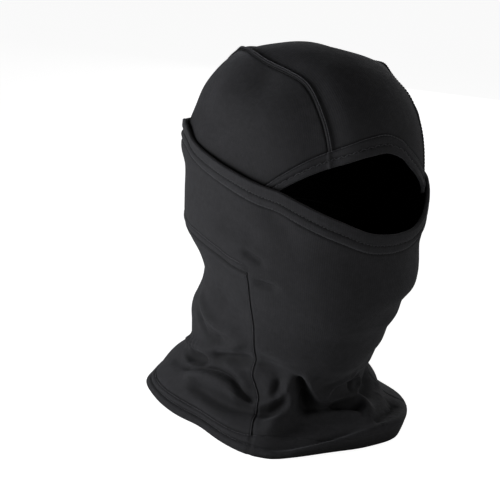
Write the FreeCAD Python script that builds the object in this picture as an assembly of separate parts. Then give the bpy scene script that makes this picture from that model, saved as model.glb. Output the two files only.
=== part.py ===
import FreeCAD, Part
import os
import math

# Hinged balaclava in millimetres.  +Z is up, the face looks along -Y and the
# wearer's right side is -X.  The origin is the middle of the overall box on
# the floor plane: z = 0 is the plane the bottom hem stands on.
#
# The forms are drawn about the head's own middle plane; ORIGIN_X and ORIGIN_Y
# move every finished piece from there to the origin.
#
# Every fabric piece is a thin curved solid between an outer and an inner
# surface of the same form.  Two forms are used: the hood (a dome about the
# head centre) and the gaiter (closed horizontal sections from the bottom hem
# up to the band round the head).  Angles are in degrees from the nose and
# grow towards the wearer's left.  Each *_FACES value is a pair: how far the
# outer and the inner surface lie outside the form.

ORIGIN_X, ORIGIN_Y = -1.438, 2.451

# ----------------------------------------------------------------- dimensions
HEAD_Z = 176.0            # height of the head centre above the hem plane
HEAD_HALF_WIDTH = 76.5    # hood half width at the temples
HEAD_FRONT = 99.5         # hood depth in front of the head centre
HEAD_BACK = 95.5          # hood depth behind the head centre
HEAD_UP = 100.0           # hood height above the head centre
HEAD_DOWN = 100.0         # hood depth below the head centre
DOME_POWER_UP = 2.55      # fullness of the crown
DOME_POWER_DOWN = 2.1     # fullness below the head centre

BAND_SQUEEZE = 4.5        # how far the band presses the hood in behind the ears
SQUEEZE_TOP = 40.0        # height above the head centre where the squeeze starts
SQUEEZE_DEPTH = 25.0      # height over which it grows to its full amount
SQUEEZE_ANGLE = 55.0      # angle from the nose where the squeeze starts
SQUEEZE_SPREAD = 30.0     # angle over which it grows to its full amount

FABRIC = 1.3              # knit thickness
THREAD_HALF = 0.5         # half width of a stitch row
STITCH_ROWS = (8.0, 13.8)  # stitch rows below the top edge of mask and band
HEM_DEPTH = 16.0          # turned depth of the mask and band hem
HEM_GAP = 0.2             # gap between the hem and the panel below it
EDGE_GAP = 0.4            # gap on either side of the moving mask's lower edge

MASK_PIVOT_Y = -4.0       # ear hinge line of the pull-down mask
MASK_PIVOT_Z = 126.0
MASK_CHIN_Z = 108.0       # lower edge of the moving mask at the chin
HINGE_CLEARANCE = 3.0     # panel edges above and below the hinge seam's middle

BOTTOM_HEM_HEIGHT = 9.5   # height of the turned bottom hem
BOTTOM_ROW_LOW = 7.6      # stitch rows above the bottom edge
BOTTOM_ROW_HIGH = 13.4

SIDES = ((-1, "right"), (1, "left"))

# Gaiter sections: z, half width, front depth, back depth, centre y, front and
# back roundness.
SECTIONS = [
    (  0.0, 90.0,  97.0, 100.0,  6.0, 2.1, 2.2),
    ( 10.0, 84.0,  92.0,  95.0,  7.0, 2.1, 2.2),
    ( 20.0, 76.0,  76.0,  88.0,  9.0, 2.0, 2.1),
    ( 30.0, 70.0,  70.5,  80.0, 10.0, 2.0, 2.0),
    ( 39.0, 66.0,  72.0,  75.0, 10.0, 2.0, 2.0),
    ( 50.0, 66.0,  81.0,  71.0,  9.0, 2.0, 2.0),
    ( 60.0, 66.0,  89.0,  70.0,  7.0, 2.0, 2.0),
    ( 72.0, 67.0,  94.5,  70.0,  5.0, 2.1, 2.0),
    ( 85.0, 68.0, 100.0,  65.5,  3.5, 2.1, 2.0),
    ( 98.0, 69.0, 105.0,  61.0,  2.0, 2.2, 2.0),
    (110.0, 71.0, 106.0,  60.5,  0.5, 2.28, 2.0),
    (121.0, 74.0, 106.5,  72.0,  0.0, 2.2, 2.0),
    (131.0, 77.0, 107.0,  84.5,  0.0, 2.1, 2.0),
    (137.0, 78.5, 107.0,  90.0,  0.0, 2.05, 2.0),
    (150.0, 79.5, 107.0,  91.0,  0.0, 2.0, 2.0),
    (165.0, 79.5, 108.5,  91.0,  0.0, 2.0, 2.0),
    (180.0, 79.5, 106.5,  93.0,  0.0, 2.0, 2.0),
    (195.0, 81.0, 104.5,  97.5,  0.0, 2.0, 2.0),
    (210.0, 82.0, 101.0,  98.5,  0.0, 2.0, 2.0),
    (222.0, 82.5,  99.5,  98.5,  0.0, 2.0, 2.0),
    (240.0, 83.0,  98.5,  98.5,  0.0, 2.0, 2.0)]

# Local swells and hollows of the gaiter: angle, its spread, height, its
# spread, outward amount.
WAVES = [
    (-128, 22, 10, 26, 9.0), (-128, 34, 70, 14, 3.0), (-42, 15, 2, 14, 7.0),
    (-84, 20, 2, 14, -5.0), (34, 26, 4, 15, 7.0), (62, 20, 8, 10, 4.0),
    (124, 24, 8, 22, 8.0), (160, 22, 4, 14, -4.0), (88, 16, 2, 12, -3.0),
    (28, 36, 146, 34, -3.6), (24, 38, 88, 23, -8.5), (-136, 20, 12, 9, -4.0),
    (-134, 18, 42, 8, -3.6), (-118, 12, 0, 7, -3.0), (-76, 14, 0, 9, -2.5),
    (64, 15, 13, 6, -6.0), (20, 16, 108, 8, -4.4), (20, 18, 60, 12, -4.5),
    (22, 10, 2, 10, 3.5), (-8, 10, 2, 10, -1.8), (72, 10, 5, 8, -4.0),
    (62, 12, 22, 8, 1.5), (-126, 18, 194, 12, 2.4), (-124, 18, 165, 20, 0.8),
    (-114, 14, 112, 18, -2.8), (-149, 10, 32, 7, -2.8), (-139, 8, 5, 6, -3.6),
    (-91, 10, 0, 7, 1.6), (-14, 24, 38, 14, 3.5)]
WAVE_CUTOFF = 12          # squared relative distance beyond which a wave is nil

# Top edge of mask and band: angle (same on both sides), height.
MASK_EDGE = [
    (0, 167), (8, 168), (22, 176), (38, 185.3), (47, 190), (55, 191.5),
    (68, 195), (85.5, 199.6), (103.5, 205.4), (117, 213.0), (126, 214.0),
    (140, 210.0), (155, 207.0), (180, 206.0)]

# Lower edge of the hood over the eyes: angle, height.  It sits a little lower
# on the left.
BROW_EDGE = [
    (-75, 160.0), (-60, 174.0), (-47.3, 189), (-36.4, 200.5), (-27.8, 207.4),
    (-20.9, 211.5), (-10.8, 217), (-3, 219), (5, 215), (11, 207), (21, 195),
    (30, 185), (38, 178), (50, 170), (75, 158)]

# Crown seam: angle along the head from the front over the top, half width of
# the centre panel.
CROWN_SEAM = [
    (0, 40.5), (22, 41.0), (45, 41.0), (60, 40.0), (74, 42.0), (88, 44.0),
    (96, 42.5), (103, 39.0), (110, 34.5), (118, 30.5), (135, 27.5),
    (165, 26.5), (200, 26.0)]

# Side seam of the neck: height, angle.
SIDE_SEAM = [
    (0, 46.4), (10, 47.0), (17, 47.0), (28, 46.0), (38, 49.0), (44, 51.0),
    (60, 52.0), (84, 54.0), (107, 58.2), (127, 60.0)]

# Hinge seam at the nape: angle (same on both sides), height.
HINGE_SEAM = [
    (58, 127.0), (70, 128.6), (84, 133.0), (102, 136.3), (140, 138.5),
    (180, 139.0)]


# -------------------------------------------------------------------- numbers
def steps(start, end, count):
    return [start + (end - start) * i / (count - 1.0) for i in range(count)]


def smooth(x):
    """Smooth rise from 0 at x = 0 to 1 at x = 1."""
    x = min(1.0, max(0.0, x))
    return x * x * (3 - 2 * x)


def mean_slope(slope, neighbour):
    """Harmonic mean of two slopes, or zero where the table turns."""
    product = neighbour * slope
    return 0.0 if product <= 0 else 2 * product / (neighbour + slope)


def read_table(rows, x):
    """Monotone cubic reading of a table; returns the row's other values."""
    if x <= rows[0][0]:
        return rows[0][1:]
    if x >= rows[-1][0]:
        return rows[-1][1:]
    i = 0
    while rows[i + 1][0] < x:
        i += 1

    def slope(row, column):
        rise = rows[row + 1][column] - rows[row][column]
        return rise / (rows[row + 1][0] - rows[row][0])

    span = rows[i + 1][0] - rows[i][0]
    part = (x - rows[i][0]) / span
    square, cube = part * part, part * part * part
    values = []
    for column in range(1, len(rows[0])):
        here = slope(i, column)
        before = here if i == 0 else slope(i - 1, column)
        after = here if i + 2 >= len(rows) else slope(i + 1, column)
        values.append((2 * cube - 3 * square + 1) * rows[i][column]
                      + (cube - 2 * square + part) * span * mean_slope(here, before)
                      + (-2 * cube + 3 * square) * rows[i + 1][column]
                      + (cube - square) * span * mean_slope(here, after))
    return values


def bisect(low, high, is_short):
    """Value between low and high at which is_short turns false."""
    for _ in range(32):
        middle = 0.5 * (low + high)
        if is_short(middle):
            low = middle
        else:
            high = middle
    return 0.5 * (low + high)


# --------------------------------------------------------------------- gaiter
def gaiter_radius(angle, z):
    """Radius of the gaiter and the y of its section's centre."""
    (half_width, front, back, centre_y,
     front_power, back_power) = read_table(SECTIONS, z)
    across, forward = math.sin(math.radians(angle)), math.cos(math.radians(angle))
    depth, power = (front, front_power) if forward > 0 else (back, back_power)
    radius = ((abs(across) / half_width) ** power
              + (abs(forward) / depth) ** power) ** (-1.0 / power)
    for wave_angle, angle_spread, wave_z, z_spread, amount in WAVES:
        turn = (angle - wave_angle + 180.0) % 360.0 - 180.0
        distance = (turn / angle_spread) ** 2 + ((z - wave_z) / z_spread) ** 2
        if distance < WAVE_CUTOFF:
            radius += amount * math.exp(-distance)
    return radius, centre_y


def gaiter(angle, z, offset=0.0):
    radius, centre_y = gaiter_radius(angle, z)
    turn = math.radians(angle)
    return FreeCAD.Vector((radius + offset) * math.sin(turn),
                          centre_y - (radius + offset) * math.cos(turn), z)


def angle_from_nose(angle):
    return abs((angle + 180.0) % 360.0 - 180.0)


def mask_edge(angle):
    return read_table(MASK_EDGE, angle_from_nose(angle))[0]


def hinge_z(angle):
    return read_table(HINGE_SEAM, angle_from_nose(angle))[0]


def side_seam_angle(z):
    return read_table(SIDE_SEAM, z)[0]


MASK_SLOPE = (MASK_PIVOT_Z - MASK_CHIN_Z) / (MASK_PIVOT_Y - gaiter(0.0, MASK_CHIN_Z).y)


def mask_low(angle):
    """Height of the moving mask's lower edge: a straight line, seen from the
    side, from the ear hinge to the chin."""
    z = MASK_PIVOT_Z
    for _ in range(30):
        line_z = MASK_PIVOT_Z + (gaiter(angle, z).y - MASK_PIVOT_Y) * MASK_SLOPE
        z = 0.5 * z + 0.5 * line_z
    return z


# ----------------------------------------------------------------------- hood
def azimuth(x, y):
    return math.degrees(math.atan2(x, -y))


def hood_radius(x, y, z):
    """Radius of the dome from the head centre along a unit direction."""
    depth = HEAD_FRONT if y < 0 else HEAD_BACK
    height, power = (HEAD_UP, DOME_POWER_UP) if z > 0 else (HEAD_DOWN, DOME_POWER_DOWN)
    level = math.sqrt((x / HEAD_HALF_WIDTH) ** 2 + (y / depth) ** 2)
    radius = (level ** power + (abs(z) / height) ** power) ** (-1.0 / power)
    return (radius - BAND_SQUEEZE * smooth((SQUEEZE_TOP - z * radius) / SQUEEZE_DEPTH)
            * smooth((abs(azimuth(x, y)) - SQUEEZE_ANGLE) / SQUEEZE_SPREAD))


def hood_along(x, y, z, offset=0.0):
    """Point of the hood along a direction from the head centre."""
    length = math.sqrt(x * x + y * y + z * z)
    x, y, z = x / length, y / length, z / length
    radius = hood_radius(x, y, z) + offset
    return FreeCAD.Vector(x * radius, y * radius, HEAD_Z + z * radius)


def hood(angle, elevation, offset=0.0):
    turn, rise = math.radians(angle), math.radians(elevation)
    return hood_along(math.cos(rise) * math.sin(turn),
                      -math.cos(rise) * math.cos(turn), math.sin(rise), offset)


def elevation_at(angle, z):
    return bisect(-50.0, 88.0, lambda elevation: hood(angle, elevation).z < z)


def crown(phi, fraction, offset=0.0, shift=0.0):
    """Point of the centre panel: phi from the front (0) over the top (90) to
    the back (180), fraction -1..1 across the panel, shift in mm sideways."""
    target_x = read_table(CROWN_SEAM, phi)[0] * fraction + shift
    sign = 1.0 if target_x >= 0 else -1.0
    pitch = math.radians(phi)

    def leaning(lean, sign, offset):
        return hood_along(sign * math.sin(lean), -math.cos(pitch) * math.cos(lean),
                          math.sin(pitch) * math.cos(lean), offset)

    lean = bisect(0.0, 1.3, lambda lean: leaning(lean, 1.0, 0.0).x < abs(target_x))
    return leaning(lean, sign, offset)


def brow_z(angle):
    return read_table(BROW_EDGE, angle)[0]


def brow_phi(fraction, rise=0.0):
    """phi at which a line of the centre panel is rise above the brow edge."""
    def is_below(phi):
        point = crown(phi, fraction)
        return point.z < brow_z(azimuth(point.x, point.y)) + rise

    return bisect(0.0, 80.0, is_below)


# ------------------------------------------------------------- solid builders
def clamped_knots(count, degree):
    """Clamped, evenly spaced knots and their multiplicities."""
    spans = count - degree
    mults = [degree + 1] + [1] * (spans - 1) + [degree + 1]
    return [float(i) for i in range(spans + 1)], mults


def skin(poles):
    """Smooth surface drawn by a grid of control points."""
    count_u, count_v = len(poles), len(poles[0])
    degree_u, degree_v = min(3, count_u - 1), min(3, count_v - 1)
    knots_u, mults_u = clamped_knots(count_u, degree_u)
    knots_v, mults_v = clamped_knots(count_v, degree_v)
    surface = Part.BSplineSurface()
    surface.buildFromPolesMultsKnots(poles, mults_u, mults_v, knots_u, knots_v,
                                     False, False, degree_u, degree_v)
    return surface


def border(surface):
    u_min, u_max, v_min, v_max = surface.bounds()
    return (surface.uIso(u_min), surface.uIso(u_max),
            surface.vIso(v_min), surface.vIso(v_max))


def sheet(outer_poles, inner_poles):
    """Closed solid between two grids of points with the same layout."""
    outer, inner = skin(outer_poles), skin(inner_poles)
    faces = [outer.toShape(), inner.toShape()]
    for outer_edge, inner_edge in zip(border(outer), border(inner)):
        faces.append(Part.makeRuledSurface(outer_edge.toShape(), inner_edge.toShape()))
    shell = Part.makeShell(faces)
    shell.sewShape()
    solid = Part.makeSolid(Part.Shell(shell.Faces))
    if solid.Volume < 0:
        solid.reverse()
    return solid


def patch(point, along, across, faces):
    """Sheet over a grid; point(u, v, offset) gives its points."""
    outer, inner = [[[point(u, v, offset) for v in across] for u in along]
                    for offset in faces]
    return sheet(outer, inner)


def strip(point, along, half, faces, count=5):
    """Narrow strip; point(u, sideways, offset), sideways in mm from its middle."""
    return patch(lambda u, s, offset: point(u, s * half, offset),
                 along, steps(-1, 1, count), faces)


def gaiter_strip(height, angles, half, faces, count=3):
    """Strip round the gaiter along the line height(angle)."""
    return strip(lambda angle, s, offset: gaiter(angle, height(angle) + s, offset),
                 angles, half, faces, count)


def write(name, *solids):
    shape = solids[0] if len(solids) == 1 else Part.makeCompound(list(solids))
    shape.translate(FreeCAD.Vector(ORIGIN_X, ORIGIN_Y, 0.0))
    shape.exportStep("parts/%s.step" % name)


# ---------------------------------------------------------------------- crown
CROWN_OUT = -1.8          # crown panels lie under the dome's surface
CROWN_FACES = (CROWN_OUT, CROWN_OUT - FABRIC)
WELT_FACES = (CROWN_OUT + 1.5, CROWN_OUT + 0.7)
CROWN_THREAD_FACES = (CROWN_OUT + 0.8, CROWN_OUT + 0.3)
CROWN_SEAM_WIDTH = 4.6
CROWN_SEAM_GAP = 0.4      # total width taken off the centre panel at the seams
SIDE_PANEL_GAP = 0.45     # side panel's top edge under the seam, in degrees
SIDE_PANEL_TRIM = 0.9     # side panel's ends inside the seam's ends, in degrees
SIDE_PANEL_LOW = 150.0    # side panel's lower edge, hidden in the gaiter
SIDE_PANEL_MIN = 1.2      # least height of the side panel, in degrees
BROW_TUCK = 1.5           # crown panels start this far above the brow edge
SEAM_TUCK = 2.0           # welt and topstitch start this far above it
TOPSTITCH_OFFSET = 4.5    # crown topstitch, from the seam towards the centre
BACK_PHI = 201.0          # the crown ends at the nape, inside the band
SEAM_BACK_PHI = 196.0     # back end of welt and topstitch


def crown_center_panel():
    """Centre panel from the brow edge over the head to the nape."""
    starts = {fraction: brow_phi(fraction, BROW_TUCK) for fraction in steps(-1, 1, 15)}

    def point(along, fraction, offset):
        phi = starts[fraction] + (BACK_PHI - starts[fraction]) * along
        return crown(phi, fraction, offset, -CROWN_SEAM_GAP * 0.5 * fraction)

    write("crown_center_panel", patch(point, steps(0, 1, 26), list(starts), CROWN_FACES))


def seam_angles(side):
    """Angle from the nose and elevation of the crown seam along the head."""
    rows = []
    for phi in steps(brow_phi(side), BACK_PHI, 90):
        point = crown(phi, side)
        level = math.hypot(point.x, point.y)
        rows.append((abs(azimuth(point.x, point.y)),
                     math.degrees(math.atan2(point.z - HEAD_Z, level))))
    return sorted(rows)


def crown_side_panel(side, name):
    """Side panel between the crown seam and the edge hidden in the gaiter."""
    seam = seam_angles(side)
    start, end = seam[0][0], seam[-1][0]
    columns = []              # angle, lower and upper elevation
    count = 34
    for i in range(count):
        # Cosine spacing crowds the columns towards both ends.
        along = 0.5 - 0.5 * math.cos(math.pi * i / (count - 1.0))
        angle = start + SIDE_PANEL_TRIM + (end - start - 2 * SIDE_PANEL_TRIM) * along
        top = read_table(seam, angle)[0] - SIDE_PANEL_GAP
        low_z = SIDE_PANEL_LOW
        if angle < BROW_EDGE[-1][0]:
            low_z = max(brow_z(side * angle) + BROW_TUCK, SIDE_PANEL_LOW)
        low = min(elevation_at(side * angle, low_z), top - SIDE_PANEL_MIN)
        columns.append((side * angle, low, top))

    def point(column, up, offset):
        angle, low, top = column
        return hood(angle, low + (top - low) * up, offset)

    write("crown_side_panel_" + name, patch(point, columns, steps(0, 1, 15), CROWN_FACES))


def crown_seam(side, name):
    """Welt over the crown seam and the stitch row beside it."""
    phis = steps(brow_phi(side, SEAM_TUCK), SEAM_BACK_PHI, 40)
    write("crown_seam_welt_" + name,
          strip(lambda phi, s, offset: crown(phi, side, offset, s),
                phis, CROWN_SEAM_WIDTH / 2, WELT_FACES))
    write("crown_topstitch_" + name,
          strip(lambda phi, s, offset: crown(phi, side, offset, s - side * TOPSTITCH_OFFSET),
                phis, THREAD_HALF, CROWN_THREAD_FACES, 3))


# ------------------------------------------------------------------- brow hem
BROW_LIFT = 2.0           # gap between the dome's surface and the brow hem
BROW_FACES = (BROW_LIFT + 1.4, BROW_LIFT)
BROW_THREAD_FACES = (BROW_LIFT + 2.2, BROW_LIFT + 1.7)
BROW_HEM_DEPTH = 13.0     # turned depth of the brow hem
BROW_ROWS = (5.5, 11.5)   # stitch rows above the brow edge
BROW_ARC_RADIUS = 101.0   # dome radius that turns a rise in mm into an angle
BROW_ANGLES = steps(-43.0, 27.0, 26)


def brow_line(angle, rise, offset):
    """Point above the brow edge by an arc length along the dome."""
    elevation = elevation_at(angle, brow_z(angle))
    return hood(angle, elevation + math.degrees(rise / BROW_ARC_RADIUS), offset)


def brow_hem():
    write("brow_hem", patch(brow_line, BROW_ANGLES, steps(0.0, BROW_HEM_DEPTH, 6), BROW_FACES))
    write("brow_hem_coverstitch", *[
        strip(lambda angle, s, offset: brow_line(angle, row + s, offset),
              BROW_ANGLES, THREAD_HALF, BROW_THREAD_FACES, 3) for row in BROW_ROWS])


# -------------------------------------------------------------- mask and band
MASK_LIFT = 1.0           # gap between the gaiter's surface and the mask
MASK_FACES = (MASK_LIFT + FABRIC, MASK_LIFT)
MASK_HEM_FACES = (MASK_LIFT + 2.0, MASK_LIFT - 0.2)
MASK_THREAD_FACES = (MASK_LIFT + 2.9, MASK_LIFT + 2.3)
MASK_ANGLES = steps(-86.0, 86.0, 37)

BAND_FACES = (0.0, -FABRIC)
BAND_HEM_FACES = (0.8, -FABRIC)
BAND_THREAD_FACES = (1.7, 1.1)
BAND_ANGLES = steps(89.0, 271.0, 31)

HINGE_SEAM_FACES = (0.4, -FABRIC)
HINGE_THREAD_FACES = (0.9, 0.3)
HINGE_SEAM_HALF = 2.5     # half width of the hinge seam
HINGE_STITCH_RISE = 6.0   # topstitch above the hinge seam's middle


def panel_top(angle):
    return mask_edge(angle) - HEM_DEPTH - HEM_GAP


def mask_point(angle, up, offset):
    low, high = mask_low(angle) + EDGE_GAP, panel_top(angle)
    return gaiter(angle, low + (high - low) * up, offset)


def band_point(angle, up, offset):
    low = hinge_z(angle) + HINGE_CLEARANCE
    return gaiter(angle, low * (1 - up) + panel_top(angle) * up, offset)


def top_hem(name, angles, hem_faces, thread_faces):
    """Turned hem along the top edge of mask or band, and its stitch rows."""
    write(name, patch(
        lambda angle, up, offset: gaiter(angle, mask_edge(angle) - HEM_DEPTH * (1 - up), offset),
        angles, steps(0, 1, 6), hem_faces))
    write(name + "_coverstitch", *[
        gaiter_strip(lambda angle: mask_edge(angle) - row, angles, THREAD_HALF, thread_faces)
        for row in STITCH_ROWS])


def mask():
    write("mask_panel", patch(mask_point, MASK_ANGLES, steps(0, 1, 13), MASK_FACES))
    top_hem("mask_hem", MASK_ANGLES, MASK_HEM_FACES, MASK_THREAD_FACES)


def back_band():
    write("back_band", patch(band_point, BAND_ANGLES, steps(0, 1, 9), BAND_FACES))
    # The stitch rows' file is named after the band, not the hem.
    write("back_band_hem", patch(
        lambda angle, up, offset: gaiter(angle, mask_edge(angle) - HEM_DEPTH * (1 - up), offset),
        BAND_ANGLES, steps(0, 1, 6), BAND_HEM_FACES))
    write("back_band_coverstitch", *[
        gaiter_strip(lambda angle: mask_edge(angle) - row, BAND_ANGLES,
                     THREAD_HALF, BAND_THREAD_FACES)
        for row in STITCH_ROWS])


def hinge_seam():
    write("hinge_seam", gaiter_strip(hinge_z, BAND_ANGLES, HINGE_SEAM_HALF,
                                     HINGE_SEAM_FACES, 5))
    write("hinge_seam_topstitch",
          gaiter_strip(lambda angle: hinge_z(angle) + HINGE_STITCH_RISE,
                       BAND_ANGLES, THREAD_HALF, HINGE_THREAD_FACES))


# ------------------------------------------------------------------ neck tube
NECK_OUT = -1.2           # neck panels lie under the gaiter's surface
NECK_IN = NECK_OUT - FABRIC
NECK_FACES = (NECK_OUT, NECK_IN)
SIDE_SEAM_FACES = (NECK_OUT + 1.2, NECK_OUT + 0.6)
SIDE_THREAD_FACES = (NECK_OUT + 1.1, NECK_OUT + 0.5)
SIDE_SEAM_WIDTH = 3.2
SIDE_SEAM_GAP = 0.2       # panel edge to the seam's middle, in degrees
SIDE_THREAD_SHIFT = 3.0   # thread beside the side seam, towards the left
SEAM_TOP_ANGLE = side_seam_angle(118.0)
PANEL_LOW = BOTTOM_HEM_HEIGHT + 0.3
EAR_ANGLE = 86.0          # behind it the back panel leaves the mask's edge
NAPE_ANGLE = 100.0        # from here it blends to the hinge seam
NAPE_BLEND = 20.0         # angle the blend takes


def front_point(across, up, offset):
    """Front panel: across -1..1 between the side seams, up from the hem."""
    top = mask_low(across * SEAM_TOP_ANGLE) - EDGE_GAP
    z = PANEL_LOW + (top - PANEL_LOW) * up
    return gaiter(across * (side_seam_angle(z) - SIDE_SEAM_GAP), z, offset)


def back_top(angle):
    """Upper edge of the back panel: under the mask's edge at the sides, under
    the hinge seam at the nape."""
    if angle < EAR_ANGLE:
        return mask_low(angle) - EDGE_GAP
    ear_top = mask_low(EAR_ANGLE) - EDGE_GAP
    hinge_top = hinge_z(angle) - HINGE_CLEARANCE
    if angle < NAPE_ANGLE:
        return min(ear_top, hinge_top)
    blend = smooth((angle - NAPE_ANGLE) / NAPE_BLEND)
    return ear_top * (1 - blend) + hinge_top * blend


def back_point(turn, up, offset):
    """Back panel: turn runs from the left seam round the back to the right."""
    angle, sign = (turn, 1) if turn <= 180 else (360 - turn, -1)
    z = PANEL_LOW + (back_top(angle) - PANEL_LOW) * up
    share = (angle - SEAM_TOP_ANGLE) / (180.0 - SEAM_TOP_ANGLE)   # 0 seam, 1 back
    bent = (side_seam_angle(z) + SIDE_SEAM_GAP) * (1 - share) + 180.0 * share
    return gaiter(sign * bent, z, offset)


def neck_panels():
    write("neck_front_panel", patch(front_point, steps(-1, 1, 25), steps(0, 1, 21), NECK_FACES))
    write("neck_back_panel",
          patch(back_point, steps(SEAM_TOP_ANGLE, 360.0 - SEAM_TOP_ANGLE, 45),
                steps(0, 1, 21), NECK_FACES))


def side_seam(side, name):
    """Side seam of the neck and the thread beside it."""
    def point(z, s, offset):
        angle = side_seam_angle(z)
        radius = gaiter_radius(side * angle, z)[0]
        return gaiter(side * (angle + math.degrees(s / radius)), z, offset)

    # The thread lies behind the seam on both sides.
    heights = steps(BOTTOM_ROW_HIGH + 1.4, mask_low(SEAM_TOP_ANGLE) - 1.2, 24)
    write("side_seam_" + name, strip(point, heights, SIDE_SEAM_WIDTH / 2, SIDE_SEAM_FACES))
    write("side_seam_thread_" + name,
          strip(lambda z, s, offset: point(z, s + SIDE_THREAD_SHIFT, offset),
                heights, THREAD_HALF, SIDE_THREAD_FACES, 3))


# ----------------------------------------------------------------- bottom hem
BOTTOM_HEM_FACES = (0.6, -2.4)
BOTTOM_THREADS = ((BOTTOM_ROW_LOW, (1.5, 0.9)), (BOTTOM_ROW_HIGH, (0.5, -0.1)))
RING_ANGLES = steps(-179.9, 179.9, 73)
HEM_EXCESS = 0.05         # length drawn below the floor plane and cut off


def bottom_hem():
    """Hem drawn a little too long and trimmed level, to stand on a flat ring."""
    def point(angle, z, offset):
        return gaiter(angle, max(z, 0.0), offset) + FreeCAD.Vector(0, 0, min(z, 0.0))

    long_hem = patch(point, RING_ANGLES, steps(-HEM_EXCESS, BOTTOM_HEM_HEIGHT, 6),
                     BOTTOM_HEM_FACES)
    below = Part.makeBox(300.0, 300.0, 20.0, FreeCAD.Vector(-150.0, -150.0, -20.0))
    write("bottom_hem", long_hem.cut(below).Solids[0])
    write("bottom_hem_coverstitch", *[
        gaiter_strip(lambda angle: row, RING_ANGLES, THREAD_HALF, faces)
        for row, faces in BOTTOM_THREADS])


# ----------------------------------------------------------------- care label
LABEL_WIDTH, LABEL_HEIGHT, LABEL_THICKNESS = 24.0, 12.0, 0.5
LABEL_LOW = 116.0         # lower edge of the label
LABEL_OUT = NECK_IN - 0.4
LABEL_ARC_RADIUS = 60.0   # radius that turns the label's width into an angle


def care_label():
    """Label inside the neck tube at the nape."""
    write("care_label", patch(
        lambda x, z, offset: gaiter(180.0 + math.degrees(x / LABEL_ARC_RADIUS), z, offset),
        steps(-LABEL_WIDTH / 2, LABEL_WIDTH / 2, 5),
        steps(LABEL_LOW, LABEL_LOW + LABEL_HEIGHT, 4),
        (LABEL_OUT, LABEL_OUT - LABEL_THICKNESS)))


os.makedirs("parts", exist_ok=True)
crown_center_panel()
for side, name in SIDES:
    crown_side_panel(side, name)
    crown_seam(side, name)
brow_hem()
mask()
back_band()
hinge_seam()
neck_panels()
for side, name in SIDES:
    side_seam(side, name)
bottom_hem()
care_label()
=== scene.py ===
"""Black knit balaclava: a gaiter that rises into a mask, and a hood with a brow hem.

Lengths are millimetres about the head's middle plane: -y is the front (nose),
+x the wearer's left, z up from the bottom hem. Angles are degrees from the
nose, growing toward +x. Each mesh is moved by ORIGIN and turned into metres.
"""
import bpy
import math
import numpy as np
from mathutils import Matrix, Vector


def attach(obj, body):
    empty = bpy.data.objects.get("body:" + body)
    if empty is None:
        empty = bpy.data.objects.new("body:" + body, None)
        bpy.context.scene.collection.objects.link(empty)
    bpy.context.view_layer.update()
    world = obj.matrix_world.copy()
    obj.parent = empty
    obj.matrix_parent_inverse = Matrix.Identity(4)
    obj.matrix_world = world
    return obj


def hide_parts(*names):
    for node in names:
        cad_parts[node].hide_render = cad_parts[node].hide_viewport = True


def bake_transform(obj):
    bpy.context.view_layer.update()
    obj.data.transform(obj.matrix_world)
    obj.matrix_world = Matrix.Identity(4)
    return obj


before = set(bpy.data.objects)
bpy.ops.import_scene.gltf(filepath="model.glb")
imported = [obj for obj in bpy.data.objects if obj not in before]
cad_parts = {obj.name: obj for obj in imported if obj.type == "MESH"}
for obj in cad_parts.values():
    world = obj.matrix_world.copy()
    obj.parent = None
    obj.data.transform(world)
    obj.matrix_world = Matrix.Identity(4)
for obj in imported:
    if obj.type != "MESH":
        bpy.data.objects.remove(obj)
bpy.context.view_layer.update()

ORIGIN = np.array([-1.438, 2.451, 0.0])

# The dome of the hood: centre, reaches from it, powers of its upright outline.
HEAD_CENTRE = np.array([0, 0, 176.0])
HALF_WIDTH, FRONT, BACK, UP, DOWN = 76.5, 99.5, 95.5, 100.0, 100.0
POWER_UP, POWER_DOWN = 2.55, 2.1
SQUEEZE = 1.4              # how far the lower sides draw in
BROW_RADIUS = 101.0        # turns heights above the brow edge into elevations

# Distances of the two stitch rows of each hem from its rim.
MASK_ROWS = (8.0, 13.8)
BROW_ROWS = (5.5, 11.5)
BOTTOM_ROWS = (5.2, 9.4)
TOPSTITCH = 1.5            # crown topstitch, in from the crown seam
HINGE_STITCH = 6.0         # topstitch above the hinge seam
CLOTH_LIFT = 0.25          # cloth above the plain form

PANEL_ANGLE = 60.0         # column where the front and back panels meet
FRONT_TOP = 127.2          # height where the mask runs into the neck front
BAND_LOW = 150.0           # lower edge of the crown sides, behind the brow hem
CLOTH_PER_DEGREE = 1.5     # cloth millimetres for a degree round the head
CLOTH_PER_RISE = 1.7       # and for a degree up or over it

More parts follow.
